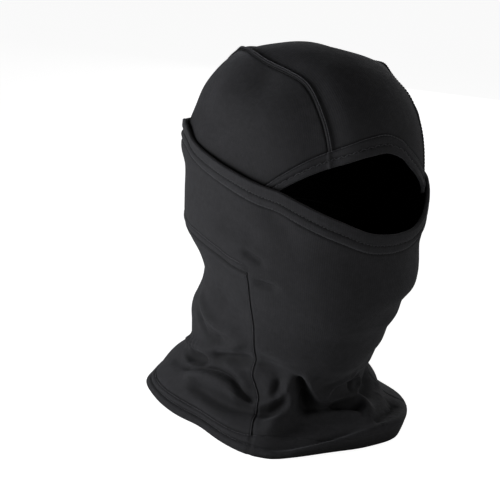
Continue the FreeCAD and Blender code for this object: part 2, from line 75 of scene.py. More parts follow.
# Sections of the gaiter: height, half width, depth in front, depth behind,
# y of the middle, power of the front half, power of the back half.
SECTIONS = np.array([
    (0.0, 90.0, 97.0, 100.0, 6.0, 2.1, 2.2), (10.0, 84.0, 92.0, 95.0, 7.0, 2.1, 2.2),
    (20.0, 76.0, 76.0, 88.0, 9.0, 2.0, 2.1), (30.0, 70.0, 70.5, 80.0, 10.0, 2.0, 2.0),
    (39.0, 66.0, 72.0, 75.0, 10.0, 2.0, 2.0), (50.0, 66.0, 81.0, 71.0, 9.0, 2.0, 2.0),
    (60.0, 66.0, 89.0, 70.0, 7.0, 2.0, 2.0), (72.0, 67.0, 94.5, 70.0, 5.0, 2.1, 2.0),
    (85.0, 68.0, 100.0, 65.5, 3.5, 2.1, 2.0), (98.0, 69.0, 105.0, 61.0, 2.0, 2.2, 2.0),
    (110.0, 71.0, 106.0, 60.5, 0.5, 2.28, 2.0), (121.0, 74.0, 106.5, 72.0, 0.0, 2.2, 2.0),
    (131.0, 77.0, 107.0, 84.5, 0.0, 2.1, 2.0), (137.0, 78.5, 107.0, 90.0, 0.0, 2.05, 2.0),
    (150.0, 79.5, 107.0, 91.0, 0.0, 2.0, 2.0), (165.0, 79.5, 108.5, 91.0, 0.0, 2.0, 2.0),
    (180.0, 79.5, 106.5, 93.0, 0.0, 2.0, 2.0), (195.0, 81.0, 104.5, 97.5, 0.0, 2.0, 2.0),
    (210.0, 82.0, 101.0, 98.5, 0.0, 2.0, 2.0), (222.0, 82.5, 99.5, 98.5, 0.0, 2.0, 2.0),
    (240.0, 83.0, 98.5, 98.5, 0.0, 2.0, 2.0)])
# Broad waves of the gaiter: angle, its spread, height, its spread, amount outward.
WAVES = [
    (-128, 22, 10, 26, 9.0), (-128, 34, 70, 14, 3.0),
    (-42, 15, 2, 14, 7.0), (-84, 20, 2, 14, -5.0),
    (34, 26, 4, 15, 7.0), (62, 20, 8, 10, 4.0), (124, 24, 8, 22, 8.0),
    (160, 22, 4, 14, -4.0), (88, 16, 2, 12, -3.0),
    (28, 36, 146, 34, -3.6), (24, 38, 88, 23, -8.5),
    (-136, 20, 12, 9, -4.0), (-134, 18, 42, 8, -3.6),
    (-118, 12, 0, 7, -3.0), (-76, 14, 0, 9, -2.5), (64, 15, 13, 6, -6.0),
    (20, 16, 108, 8, -4.4), (20, 18, 60, 12, -4.5), (22, 10, 2, 10, 3.5),
    (-8, 10, 2, 10, -1.8), (72, 10, 5, 8, -4.0), (62, 12, 22, 8, 1.5),
    (-126, 18, 194, 12, 2.4), (-124, 18, 165, 20, 0.8),
    (-114, 14, 112, 18, -2.8), (-149, 10, 32, 7, -2.8),
    (-139, 8, 5, 6, -3.6), (-91, 10, 0, 7, 1.6), (-14, 24, 38, 14, 3.5)]
# Top edge of the mask and band: angle to either side, height.
MASK_EDGE = np.array([
    (0, 167), (8, 168), (22, 176), (38, 185.3), (47, 190), (55, 191.5), (68, 195),
    (85.5, 199.6), (103.5, 205.4), (117, 213.0), (126, 214.0), (140, 210.0),
    (155, 207.0), (180, 206.0)], float)
# Lower edge of the brow hem: angle, height.
BROW_EDGE = np.array([
    (-75, 160.0), (-60, 174.0), (-47.3, 189), (-36.4, 200.5), (-27.8, 207.4),
    (-20.9, 211.5), (-10.8, 217), (-3, 219), (5, 215), (11, 207), (21, 195),
    (30, 185), (38, 178), (50, 170), (75, 158)], float)
# Crown seams: arc over the head (0 brow, 90 top, 180 nape), distance sideways.
CROWN_SEAM = np.array([
    (0, 40.5), (22, 41.0), (45, 41.0), (60, 40.0), (74, 42.0), (88, 44.0), (96, 42.5),
    (103, 39.0), (110, 34.5), (118, 30.5), (135, 27.5), (165, 26.5), (200, 26.0)], float)
# Side seams: height, angle to either side.
SIDE_SEAM = np.array([
    (0, 46.4), (10, 47.0), (17, 47.0), (28, 46.0), (38, 49.0), (44, 51.0),
    (60, 52.0), (84, 54.0), (107, 58.2), (127, 60.0)], float)
# Hinge seam between band and neck: angle to either side, height.
HINGE_SEAM = np.array([
    (58, 127.0), (70, 128.6), (84, 133.0), (102, 136.3), (140, 138.5), (180, 139.0)], float)
# Crest where the front of the bottom hem curls up: angle, height.
CURL = np.array([
    (-75, 2.0), (-48, 3.0), (-38, 3.2), (-28, 5.2), (-20, 7.2), (-10, 8.9), (0, 11.2),
    (9, 13.6), (18, 15.0), (28, 13.5), (38, 10.5), (48, 8.2), (75, 4.6), (105, 3.0)], float)
# Folds of the gaiter: name, amount outward, width left of the line and right of
# it (as it runs, from outside), share of each end that fades, points of the line.
FOLDS = [
    ("neck_ridge_1", 3.4, 4.6, 4.6, 0.2,
     [(-64.6, 22.1, 92.1), (-67.5, 14.0, 85.3), (-68.1, 6.7, 78.6), (-67.4, -4.7, 75.0),
      (-65.8, -18.1, 75.2), (-63.3, -30.9, 76.6)]),
    ("neck_valley_1", -2.6, 3.2, 3.2, 0.25,
     [(-65.9, 24.1, 78.9), (-67.4, 18.2, 71.9), (-67.1, 10.9, 65.0), (-66.5, 0.7, 63.3),
      (-65.2, -14.3, 66.6)]),
    ("neck_ridge_2", 4.2, 4.6, 4.6, 0.2,
     [(-48.5, 61.0, 37.4), (-65.0, 23.6, 47.6), (-66.1, 5.5, 51.8), (-64.7, -10.6, 58.0),
      (-63.0, -25.2, 66.6), (-62.1, -35.3, 76.6)]),
    ("neck_hollow", -2.4, 10.0, 10.0, 0.35,
     [(-69.2, -4.6, 100.6), (-67.9, -16.3, 94.8), (-66.2, -26.9, 91.5), (-63.9, -36.3, 90.1)]),
    ("pocket_a", -6.0, 5.2, 5.2, 0.25,
     [(-65.6, 38.4, 33.6), (-65.7, 27.0, 36.6), (-66.1, 15.3, 39.8), (-66.0, 5.8, 40.4)]),
    ("lip_a", 1.6, 2.6, 2.6, 0.25,
     [(-64.1, 45.3, 33.0), (-68.4, 33.5, 31.1), (-69.3, 23.4, 31.3), (-68.2, 13.9, 33.4),
      (-66.5, 7.3, 36.7), (-65.5, 1.0, 40.7)]),
    ("valley_a", -5.2, 5.2, 5.2, 0.2,
     [(-65.6, -0.8, 49.5), (-63.7, -13.6, 52.7), (-60.7, -25.8, 55.6), (-57.3, -35.8, 57.5)]),
    ("valley_a2", -5.2, 11.0, 5.5, 0.35,
     [(-57.4, -33.8, 54.3), (-52.9, -42.4, 53.9), (-47.3, -49.5, 51.9), (-40.4, -55.0, 48.2)]),
    ("ridge_a", 2.4, 4.0, 4.0, 0.2,
     [(-64.3, -8.6, 46.8), (-62.3, -16.3, 46.4), (-58.7, -24.3, 42.8), (-56.0, -28.9, 36.3),
      (-55.0, -33.2, 31.6)]),
    ("left_pit", -2.6, 4.5, 4.5, 0.3,
     [(-68.4, 52.4, 25.9), (-70.2, 39.0, 27.6), (-70.3, 27.2, 29.1)]),
    ("crease_c", -4.0, 2.0, 2.0, 0.1,
     [(-70.7, 35.2, 27.5), (-70.6, 23.8, 28.9), (-68.2, 11.1, 33.4), (-65.7, 0.2, 37.0),
      (-63.8, -8.8, 38.0), (-61.3, -17.2, 37.1), (-59.6, -24.3, 33.4), (-58.5, -29.7, 29.2),
      (-56.1, -35.5, 26.5), (-52.6, -40.6, 25.6)]),
    ("ridge_c", 4.4, 6.2, 6.2, 0.14,
     [(-73.8, 23.8, 23.8), (-71.4, 16.8, 27.9), (-69.6, 5.8, 30.6), (-67.3, -5.6, 31.8),
      (-64.9, -15.5, 30.7), (-62.4, -23.9, 28.2), (-59.3, -31.3, 26.1)]),
    ("valley_d", -6.0, 5.4, 5.4, 0.14,
     [(-74.0, 20.6, 23.5), (-74.2, 10.0, 22.4), (-73.6, -0.2, 21.8), (-72.1, -10.3, 21.1),
      (-68.6, -21.0, 21.1), (-63.3, -31.4, 21.4), (-57.9, -38.8, 22.0), (-52.3, -45.9, 21.6),
      (-47.4, -50.2, 21.7), (-41.5, -51.2, 24.8), (-37.7, -51.4, 29.6), (-35.8, -52.8, 36.1)]),
    ("ridge_e", 3.6, 3.2, 3.2, 0.1,
     [(-64.3, -21.7, 26.9), (-61.4, -29.4, 24.9), (-58.0, -36.0, 23.9), (-54.3, -40.9, 23.7),
      (-49.9, -44.6, 24.5), (-44.9, -47.2, 26.5), (-41.1, -48.6, 30.7), (-39.1, -50.0, 36.4),
      (-38.4, -53.0, 43.0), (-38.0, -58.6, 50.0)]),
    ("tongue", 3.0, 5.5, 5.5, 0.3,
     [(-48.4, -42.3, 43.6), (-45.3, -43.7, 38.1), (-44.8, -44.8, 32.9), (-46.1, -44.9, 28.5)]),
    ("valley_t", -2.6, 3.2, 3.2, 0.25,
     [(-43.1, -50.6, 46.1), (-41.9, -47.5, 38.2), (-43.2, -46.5, 31.8)]),
    ("ridge_f", 5.2, 5.4, 5.4, 0.16,
     [(-37.7, -57.4, 47.9), (-33.9, -54.7, 38.9), (-34.2, -53.7, 31.4), (-37.4, -54.2, 24.4),
      (-43.8, -56.5, 19.0), (-51.7, -58.3, 15.3), (-58.5, -58.6, 11.5)]),
    ("skirt_front", 3.0, 10.0, 10.0, 0.35,
     [(-65.1, -53.3, 11.3), (-60.6, -56.6, 11.8), (-55.1, -61.2, 11.1), (-49.1, -65.2, 10.1)]),
    ("pocket_f", -8.5, 4.6, 4.6, 0.12,
     [(-34.1, -61.7, 49.8), (-28.9, -58.5, 40.4), (-26.1, -58.3, 32.6), (-24.4, -59.3, 26.3),
      (-24.3, -62.2, 22.0)]),
    ("pocket_f2", -5.0, 4.2, 4.2, 0.2,
     [(-24.9, -59.0, 33.4), (-20.7, -60.2, 27.5), (-16.3, -63.5, 23.2)]),
    ("ridge_fg", 4.0, 5.0, 5.0, 0.2,
     [(-31.6, -66.1, 53.5), (-24.5, -63.9, 44.9), (-17.7, -62.2, 35.6), (-13.0, -61.8, 28.9)]),
    ("line_g", -3.4, 2.2, 2.2, 0.12,
     [(-24.3, -60.8, 23.8), (-15.6, -63.7, 23.1), (-5.6, -65.0, 22.8), (5.4, -65.4, 21.7)]),
    ("pocket_g", -6.0, 3.6, 3.6, 0.2,
     [(-5.3, -64.5, 23.7), (3.9, -64.8, 22.6), (12.4, -66.1, 21.3), (19.7, -70.1, 19.9)]),
    ("ridge_g", 4.4, 4.0, 4.0, 0.1,
     [(-15.3, -61.5, 27.7), (-8.9, -62.3, 29.5), (0.4, -62.4, 28.7), (10.6, -61.6, 27.0),
      (19.9, -61.1, 24.4), (24.4, -64.2, 22.0), (24.3, -70.4, 19.9), (20.3, -79.1, 17.4),
      (13.7, -87.3, 14.6)]),
    ("under_g", 2.4, 2.8, 2.8, 0.2,
     [(-13.3, -66.0, 19.7), (-3.3, -67.4, 19.3), (5.4, -70.6, 18.5), (10.6, -75.9, 17.3),
      (11.6, -83.0, 15.5)]),
    ("ridge_h", 2.6, 3.2, 3.2, 0.15,
     [(-11.7, -62.2, 31.2), (-8.6, -64.2, 37.8), (-4.6, -66.5, 42.7), (0.6, -68.7, 45.8),
      (7.5, -68.1, 46.5), (11.1, -69.9, 50.5)]),
    ("eye", -3.6, 2.6, 2.6, 0.25,
     [(12.1, -63.2, 41.9), (15.5, -60.1, 35.1), (14.3, -60.1, 29.6)]),
    ("ridge_i", 2.6, 2.2, 2.2, 0.2,
     [(19.8, -61.6, 43.7), (27.5, -55.1, 32.9), (25.9, -56.6, 28.2), (18.9, -59.6, 26.8)]),
    ("valley_j", -4.5, 5.0, 5.0, 0.25,
     [(45.3, -43.0, 33.3), (41.6, -48.3, 28.0), (33.1, -55.5, 24.5), (25.5, -61.5, 23.0)]),
    ("ridge_j", 2.2, 4.2, 4.2, 0.3,
     [(57.3, -41.3, 21.8), (54.5, -48.9, 17.2), (41.9, -63.6, 17.9)]),
    ("gutter", -5.0, 4.2, 4.2, 0.2,
     [(61.2, -63.1, 11.9), (45.6, -74.7, 15.5), (33.2, -80.9, 17.0), (22.4, -83.5, 16.5),
      (12.3, -85.6, 14.9)]),
    ("gutter_2", -1.8, 2.4, 2.4, 0.2,
     [(7.3, -87.3, 13.7), (-6.9, -85.8, 11.5), (-22.9, -83.4, 9.4), (-37.9, -80.1, 7.4),
      (-51.4, -75.0, 5.5), (-61.9, -69.2, 4.8), (-68.1, -62.1, 5.3)]),
    ("rim", 1.9, 1.7, 1.7, 0.1,
     [(-69.0, -64.9, 3.7), (-63.5, -71.8, 2.6), (-53.3, -78.0, 3.1), (-43.7, -81.2, 5.1),
      (-30.8, -84.7, 7.2), (-17.0, -87.5, 8.7), (-5.1, -89.5, 10.5), (5.3, -91.1, 11.9),
      (16.9, -91.6, 13.5), (33.7, -88.3, 15.4)]),
    ("wedge_1", -3.0, 3.0, 3.4, 0.35,
     [(-74.6, -34.8, 142.2), (-72.1, -43.3, 141.1), (-66.5, -56.7, 137.2)]),
    ("wedge_2", -3.0, 3.2, 4.0, 0.35,
     [(-70.3, -46.4, 122.0), (-67.6, -53.6, 122.6), (-61.4, -65.0, 122.0)]),
    ("soft_l", -2.2, 7.0, 7.0, 0.3,
     [(-78.9, -12.5, 154.8), (-75.3, -34.6, 156.3), (-69.2, -52.0, 153.2)]),
    ("soft_m", -2.0, 7.0, 8.0, 0.3,
     [(-70.1, -50.4, 176.3), (-64.2, -63.8, 167.9), (-58.0, -74.8, 156.1)]),
]
# Flat and full places of the hood: x, y, z, radius, amount outward.
DENTS = [
    (-54, -16, 256, 17, -4.5), (-66, 14, 240, 12, 1.6), (-12, 34, 272, 19, -4.2),
    (26, -4, 274, 22, -4.0), (6, 14, 276, 16, -0.8), (43, -30, 262, 8, 1.8),
    (46, -46, 254, 11, -3.6), (-27, 43, 265, 8, 2.0), (-47, 62, 233, 14, 1.2),
    (51, -56, 236, 9, 1.0), (60, -46, 222, 16, 2.0)]


# ------------------------------------------------------------ number helpers
def table(rows, x):
    """Monotone cubic reading of a table's further columns at x in its first."""
    xs, ys = rows[:, 0], rows[:, 1:]
    x = np.clip(np.asarray(x, float), xs[0], xs[-1])
    gap = np.diff(xs)
    slope = np.diff(ys, axis=0) / gap[:, None]
    tangent = np.zeros_like(ys)
    tangent[0], tangent[-1] = slope[0], slope[-1]
    before, after = slope[:-1], slope[1:]
    ok = before * after > 0
    tangent[1:-1] = np.where(
        ok, 2 * before * after / np.where(ok, before + after, 1.0), 0.0)
    i = np.clip(np.searchsorted(xs, x, side="right") - 1, 0, len(xs) - 2)
    u = ((x - xs[i]) / gap[i])[..., None]
    width = gap[i][..., None]
    u2, u3 = u * u, u * u * u
    return ((2 * u3 - 3 * u2 + 1) * ys[i] + (u3 - 2 * u2 + u) * width * tangent[i]
            + (-2 * u3 + 3 * u2) * ys[i + 1] + (u3 - u2) * width * tangent[i + 1])


def curve(rows, x):
    """Reading of a two-column table."""
    return table(rows, x)[..., 0]


def smooth(x):
    x = np.clip(x, 0.0, 1.0)
    return x * x * (3 - 2 * x)


def bell(x):
    return np.exp(-x * x)


def unit(vectors):
    return vectors / np.maximum(np.linalg.norm(vectors, axis=-1, keepdims=True), 1e-9)


def wrapped(angle):
    """The angle brought into -180 .. 180."""
    return (np.asarray(angle, float) + 180.0) % 360.0 - 180.0


def bisect(shape, low, high, is_below):
    """Where is_below turns false between low and high."""
    low, high = np.full(shape, low), np.full(shape, high)
    for _ in range(30):
        middle = 0.5 * (low + high)
        below = is_below(middle)
        low, high = np.where(below, middle, low), np.where(below, high, middle)
    return 0.5 * (low + high)


def run_along(points):
    """Length along a line at each of its points."""
    return np.concatenate([[0.0], np.cumsum(np.linalg.norm(np.diff(points, axis=0), axis=1))])


def surface_noise(points, seed, size):
    """Gentle, repeatable unevenness built from a few sine waves."""
    rng = np.random.default_rng(seed)
    out = np.zeros(points.shape[:-1])
    for _ in range(9):
        direction = unit(rng.normal(size=3))
        wave = size * (0.7 + 1.1 * rng.random())
        phase = points @ direction * (2 * math.pi / wave) + rng.random() * 6.283
        out = out + np.sin(phase) * (0.6 + 0.4 * rng.random())
    return out / 3.0


# --------------------------------------------------------- form of the gaiter
def gaiter_form(angle, z):
    """Radius and middle y of the gaiter before its hem curls."""
    angle, z = np.broadcast_arrays(np.asarray(angle, float), np.asarray(z, float))
    section = table(SECTIONS, z)
    half_width, front, back, middle, front_power, back_power = [
        section[..., k] for k in range(6)]
    sine, cosine = np.sin(np.radians(angle)), np.cos(np.radians(angle))
    depth = np.where(cosine > 0, front, back)
    power = np.where(cosine > 0, front_power, back_power)
    radius = ((np.abs(sine) / half_width) ** power
              + (np.abs(cosine) / depth) ** power) ** (-1.0 / power)
    for at_angle, spread, at_z, z_spread, amount in WAVES:
        radius = radius + amount * np.exp(-((wrapped(angle - at_angle) / spread) ** 2
                                            + ((z - at_z) / z_spread) ** 2))
    return radius, middle


def gaiter_base(angle, z):
    """Radius and middle y of the gaiter, the front of the hem curling up with
    its outer face tucked under."""
    angle, z = np.broadcast_arrays(np.asarray(angle, float), np.asarray(z, float))
    radius, middle = gaiter_form(angle, z)
    low = (z < 31) & (wrapped(angle) > -75) & (wrapped(angle) < 112)
    if not low.any():
        return radius, middle
    side, height = wrapped(angle[low]), z[low]
    share = smooth((side + 62) / 32.0) * smooth((108 - side) / 40.0)
    crest = curve(CURL, side)
    rim = gaiter_form(angle[low], 0.0)[0] - 0.4 + 3.2 * bell((side - 4.0) / 26.0)
    foot = crest + 12.5
    at_foot = gaiter_form(angle[low], foot)[0]
    total = np.zeros(side.shape)
    # the mean over nearby heights rounds the crest
    steps = (-1.8, -1.1, -0.4, 0.4, 1.1, 1.8)
    for step in steps:
        level = height + step
        up = np.clip((level - crest) / (foot - crest), 0.0, 1.0)
        above = rim + (at_foot - rim) * (1 - (1 - up) ** 2.3)
        tuck = np.clip((crest - level) / np.maximum(crest, 1.0), 0.0, 1.3) ** 1.4
        under = rim - 5.5 * tuck * np.clip(crest / 8.0, 0, 1)
        total = total + np.where(level > foot, gaiter_form(angle[low], level)[0],
                                 np.where(level > crest, above, under))
    radius = radius.copy()
    radius[low] = radius[low] * (1 - share) + total / len(steps) * share
    return radius, middle


def around(angle, z, radius, middle):
    """Points at a radius from the middle of the section."""
    turn = np.radians(angle)
    return np.stack([radius * np.sin(turn), middle - radius * np.cos(turn),
                     np.broadcast_to(z, radius.shape) + 0.0], -1)


def gaiter_at(angle, z):
    return around(angle, z, *gaiter_base(angle, z))


def gaiter_normal(angle, z, turn_step=0.3, z_step=1.2):
    by_angle = gaiter_at(angle + turn_step, z) - gaiter_at(angle - turn_step, z)
    by_z = gaiter_at(angle, z + z_step) - gaiter_at(angle, z - z_step)
    return unit(np.cross(by_angle, by_z))


def mask_edge(angle):
    return curve(MASK_EDGE, np.abs(wrapped(angle)))


def hinge_z(angle):
    return curve(HINGE_SEAM, np.abs(wrapped(angle)))


def seam_angle(z):
    return curve(SIDE_SEAM, z)


def sewn(angle):
    """1 where the bottom hem's rows show, 0 where the curl hides them."""
    side = wrapped(angle)
    return 1.0 - smooth((side + 52) / 14.0) * smooth((100 - side) / 14.0)


def on_gaiter(line, parts=5):
    """A smooth line through the given places, laid on the gaiter's form."""
    line = np.array(line, float)
    middle = gaiter_base(0.0, line[:, 2])[1]
    angle = np.degrees(np.unwrap(np.arctan2(line[:, 0], -(line[:, 1] - middle))))
    keys = np.stack([angle, line[:, 2]], 1)
    keys = np.concatenate([[2 * keys[0] - keys[1]], keys, [2 * keys[-1] - keys[-2]]])
    out = []
    for i in range(1, len(keys) - 2):
        before, start, end, after = keys[i - 1:i + 3]
        for u in np.arange(parts) / parts:
            out.append(0.5 * (2 * start + (end - before) * u
                              + (2 * before - 5 * start + 4 * end - after) * u ** 2
                              + (3 * start - before - 3 * end + after) * u ** 3))
    out.append(keys[-2])
    out = np.array(out)
    return gaiter_at(out[:, 0], out[:, 1])


FOLD_LINES = [on_gaiter(fold[-1]) for fold in FOLDS]


def folds(points, normals):
    """Each fold is a soft union of dabs along its line, so it has no crease
    along its middle or where its line bends."""
    shape = points.shape[:-1]
    points, normals = points.reshape(-1, 3), normals.reshape(-1, 3)
    out = np.zeros(len(points))
    for (_, amount, left, right, fade, _), line in zip(FOLDS, FOLD_LINES):
        run = run_along(line)
        share = run / run[-1]
        heights = smooth(share / fade) * smooth((1 - share) / fade)
        reach = 2.6 * max(left, right)
        inside = (points > line.min(0) - reach) & (points < line.max(0) + reach)
        near = np.nonzero(np.all(inside, axis=1))[0]
        total = np.zeros(len(near))
        for centre, along, height, step in zip(
                line, unit(np.gradient(line, axis=0)), heights, np.gradient(run)):
            if height < 1e-3:
                continue
            away = points[near] - centre
            square = np.sum(away * away, 1)
            leftward = np.sum(np.cross(along, away) * normals[near], 1)
            width = 0.5 * (left + right) + 0.5 * (left - right) * leftward / np.sqrt(square + 1.0)
            # 0.886 is the half area of the bell
            total += (height * np.exp(-square / width ** 2)) ** 4 * step / (0.886 * width)
        out[near] += amount * total ** 0.25
    return out.reshape(shape)


def gaiter_relief(angle, z, points, normals):
    """Height of the fabric over the plain form, shared by every gaiter piece."""
    side = np.abs(wrapped(angle))
    uneven = 0.5 * surface_noise(points, 3, 46.0) + 0.16 * surface_noise(points, 5, 17.0)
    out = folds(points, normals) + uneven * smooth((z - 10) / 14.0)
    # side seams: a ditch between two soft edges, up to the hinge
    radius = np.hypot(points[..., 0], points[..., 1])
    away = (side - seam_angle(z)) * math.pi / 180.0 * radius
    ditch = -(0.65 + 0.25 * smooth((60 - z) / 40.0)) * bell(away / 0.75)
    edges = 0.12 * bell((np.abs(away) - 2.6) / 1.9)
    out = out + smooth((129.0 - z) / 3.5) * (ditch + edges)
    # hinge seam: a ditch, the turned allowance above it, its topstitch and a
    # soft edge below
    away = z - hinge_z(angle)
    ditch = -1.4 * bell(away / 1.1)
    allowance = 0.7 * smooth((away - 0.6) / 1.2) * smooth((7.6 - away) / 1.6)
    topstitch = -0.9 * bell((away - HINGE_STITCH) / 0.9)
    edge = 0.35 * bell((away + 3.0) / 1.8)
    return out + smooth((side - 58.5) / 3.0) * (ditch + allowance + topstitch + edge)


def gaiter_surface(angle, z, lift=0.0):
    """Points of the fabric, lifted along the normal."""
    angle, z = np.broadcast_arrays(np.asarray(angle, float), np.asarray(z, float))
    points, normals = gaiter_at(angle, z), gaiter_normal(angle, z)
    height = lift + gaiter_relief(angle, z, points, normals)
    return points + normals * height[..., None]


# ----------------------------------------------------------- form of the hood
def hood_radius(direction):
    x, y, z = direction[..., 0], direction[..., 1], direction[..., 2]
    depth = np.where(y < 0, FRONT, BACK)
    height, power = np.where(z > 0, UP, DOWN), np.where(z > 0, POWER_UP, POWER_DOWN)
    level = np.sqrt((x / HALF_WIDTH) ** 2 + (y / depth) ** 2)
    radius = (level ** power + (np.abs(z) / height) ** power) ** (-1.0 / power)
    side = np.abs(np.degrees(np.arctan2(x, -y)))
    # the +x half draws in all the way round, the -x half only behind
    draw = (3.1 * np.maximum(smooth((side - 134) / 14.0), 1.0 * (x > 0))
            + 1.0 * smooth((side - 148) / 9.0))
    return radius - (SQUEEZE + draw) * smooth((40 - z * radius) / 25.0) * smooth((side - 55) / 30.0)


def hood_toward(direction):
    """The dome's point in a direction from the head's centre."""
    direction = unit(direction)
    return direction * hood_radius(direction)[..., None] + HEAD_CENTRE


def hood_at(azimuth, elevation):
    azimuth, elevation = np.broadcast_arrays(
        np.radians(np.asarray(azimuth, float)), np.radians(np.asarray(elevation, float)))
    return hood_toward(np.stack([np.cos(elevation) * np.sin(azimuth),
                                 -np.cos(elevation) * np.cos(azimuth), np.sin(elevation)], -1))


def hood_normal(points, step=0.012):
    """Outward unit normal of the dome at points on it."""
    out = unit(points - HEAD_CENTRE)
    # any fixed direction off the axes gives two tangents
    first = unit(np.cross(out, np.array([0.31, 0.17, 0.94])))
    second = np.cross(out, first)
    by_first = hood_toward(out + step * first) - hood_toward(out - step * first)
    by_second = hood_toward(out + step * second) - hood_toward(out - step * second)
    normal = unit(np.cross(by_first, by_second))
    return normal * np.sign(np.sum(normal * out, -1, keepdims=True))


def hood_angles(points):
    """Azimuth and elevation of points."""
    away = points - HEAD_CENTRE
    return (np.degrees(np.arctan2(away[..., 0], -away[..., 1])),
            np.degrees(np.arctan2(away[..., 2], np.hypot(away[..., 0], away[..., 1]))))


def elevation_at(azimuth, z):
    """Elevation at which the dome reaches height z."""
    azimuth, z = np.broadcast_arrays(np.asarray(azimuth, float), np.asarray(z, float))
    return bisect(azimuth.shape, -50.0, 88.0, lambda el: hood_at(azimuth, el)[..., 2] < z)


def crown_at(arc, x):
    """Dome point at an arc over the head and x millimetres sideways."""
    arc, x = np.broadcast_arrays(np.asarray(arc, float), np.asarray(x, float))
    over = np.radians(arc)

    def tilted(tilt, side=1.0):
        return hood_toward(np.stack([side * np.sin(tilt), -np.cos(over) * np.cos(tilt),
                                     np.sin(over) * np.cos(tilt)], -1))
    tilt = bisect(arc.shape, 0.0, 1.3, lambda angle: tilted(angle)[..., 0] < np.abs(x))
    return tilted(tilt, np.where(x >= 0, 1.0, -1.0))


def seam_x(arc):
    return curve(CROWN_SEAM, arc)


AZIMUTHS = np.linspace(-90, 90, 361)
BROW_ELEVATIONS = elevation_at(AZIMUTHS, curve(BROW_EDGE, AZIMUTHS))


def brow_elevation(azimuth, rise=0.0):
    """Elevation of the line a rise in millimetres above the brow edge."""
    return np.interp(azimuth, AZIMUTHS, BROW_ELEVATIONS) + np.degrees(rise / BROW_RADIUS)


def brow_arc(share):
    """Arc at which a line at a share of the seams' x meets the top of the brow hem."""
    def below(arc):
        azimuth, elevation = hood_angles(crown_at(arc, seam_x(arc) * share))
        return elevation < brow_elevation(azimuth, BROW_ROWS[1])
    return bisect(np.shape(share), 0.0, 85.0, below)


SEAM_ARCS = np.linspace(4, 200, 150)
SEAM_LINES = {side: crown_at(SEAM_ARCS, side * seam_x(SEAM_ARCS)) for side in (-1, 1)}

# The crown seam on the -x side pulls the knit in beside it.
PULL_ARCS = SEAM_ARCS[(SEAM_ARCS > 6) & (SEAM_ARCS < 96)][::2]
PULL_LINE = crown_at(PULL_ARCS, -seam_x(PULL_ARCS))
PULL_STEPS = np.gradient(run_along(PULL_LINE))


def seam_distance(points, side):
    """Distance from points to the crown seam of one side."""
    shape = points.shape[:-1]
    points = points.reshape(-1, 3)
    best = np.full(len(points), 1e9)
    line = SEAM_LINES[side]
    for start, end in zip(line[:-1], line[1:]):
        span = end - start
        share = np.clip(((points - start) @ span) / (span @ span), 0, 1)
        away = points - (start + share[:, None] * span)
        best = np.minimum(best, np.sqrt(np.sum(away * away, 1)))
    return best.reshape(shape)


def nearest_seam(points):
    return np.minimum(seam_distance(points, -1), seam_distance(points, 1))


def hood_relief(points):
    """Height of the knit over the plain dome."""
    azimuth, elevation = hood_angles(points)
    flat = points.reshape(-1, 3)
    width = 12.0 + 9.0 * smooth((-flat[:, 0] - 40.0) / 8.0)
    total = np.zeros(len(flat))
    for centre, arc, step in zip(PULL_LINE, PULL_ARCS, PULL_STEPS):
        fade = float(smooth((94.0 - arc) / 30.0) * smooth((arc + 4.0) / 30.0))
        dab = fade * np.exp(-np.sum((flat - centre) ** 2, 1) / width ** 2)
        total += dab ** 2 * step / (1.253 * width)
    out = (-4.2 * np.sqrt(total)).reshape(points.shape[:-1])
    # fullness: amount, azimuth, its spread, elevation, its spread
    for amount, at, spread, level, reach in (
            (1.2, -128, 40.0, 48, 20.0), (6.6, -116, 22.0, 19, 12.0), (2.3, -82, 24.0, 15, 9.0)):
        out = out + (amount * bell(wrapped(azimuth - at) / spread)
                     * bell((elevation - level) / reach))
    for x, y, z, size, amount in DENTS:
        square = (points[..., 0] - x) ** 2 + (points[..., 1] - y) ** 2 + (points[..., 2] - z) ** 2
        out = out + amount * np.exp(-square / size ** 2)
    return out + 0.5 * surface_noise(points, 11, 60.0) + 0.12 * surface_noise(points, 13, 20.0)


def hood_surface(points, lift=0.0):
    """Points of the knit over dome points, lifted along the normal."""
    return points + hood_normal(points) * (lift + hood_relief(points))[..., None]


# -------------------------------------------------------------- mesh building
def to_metres(points):
    return (points + ORIGIN) / 1000.0


def graded(start, end, step, fine=()):
    """Positions from start to end, closer near each (place, reach, step)."""
    out, x = [start], start
    while x < end:
        move = step
        for place, reach, small in fine:
            move = min(move, small + (step - small) * min(1.0, abs(x - place) / reach))
        x += move
        out.append(x)
    out = np.array(out)
    return start + (out - start) * (end - start) / (out[-1] - start)


def grid(count_u, count_v, wrap_u=False, wrap_v=False):
    """Quads of a grid, with the u and v numbers of their corners."""
    i, j = np.meshgrid(np.arange(count_u if wrap_u else count_u - 1),
                       np.arange(count_v if wrap_v else count_v - 1), indexing="ij")
    i, j = i.ravel(), j.ravel()
    corner_u = np.stack([i, i + 1, i + 1, i], 1)
    corner_v = np.stack([j, j, j + 1, j + 1], 1)
    return (corner_u % count_u) * count_v + (corner_v % count_v), corner_u, corner_v


def cloth_uv(across, along):
    """Cloth coordinates in centimetres from millimetres."""
    return np.stack([across, along], -1) / 10.0


def vertex_normals(verts, quads):
    normals = np.cross(verts[quads[:, 2]] - verts[quads[:, 0]],
                       verts[quads[:, 3]] - verts[quads[:, 1]])
    out = np.zeros_like(verts)
    for k in range(4):
        np.add.at(out, quads[:, k], normals)
    return unit(out)


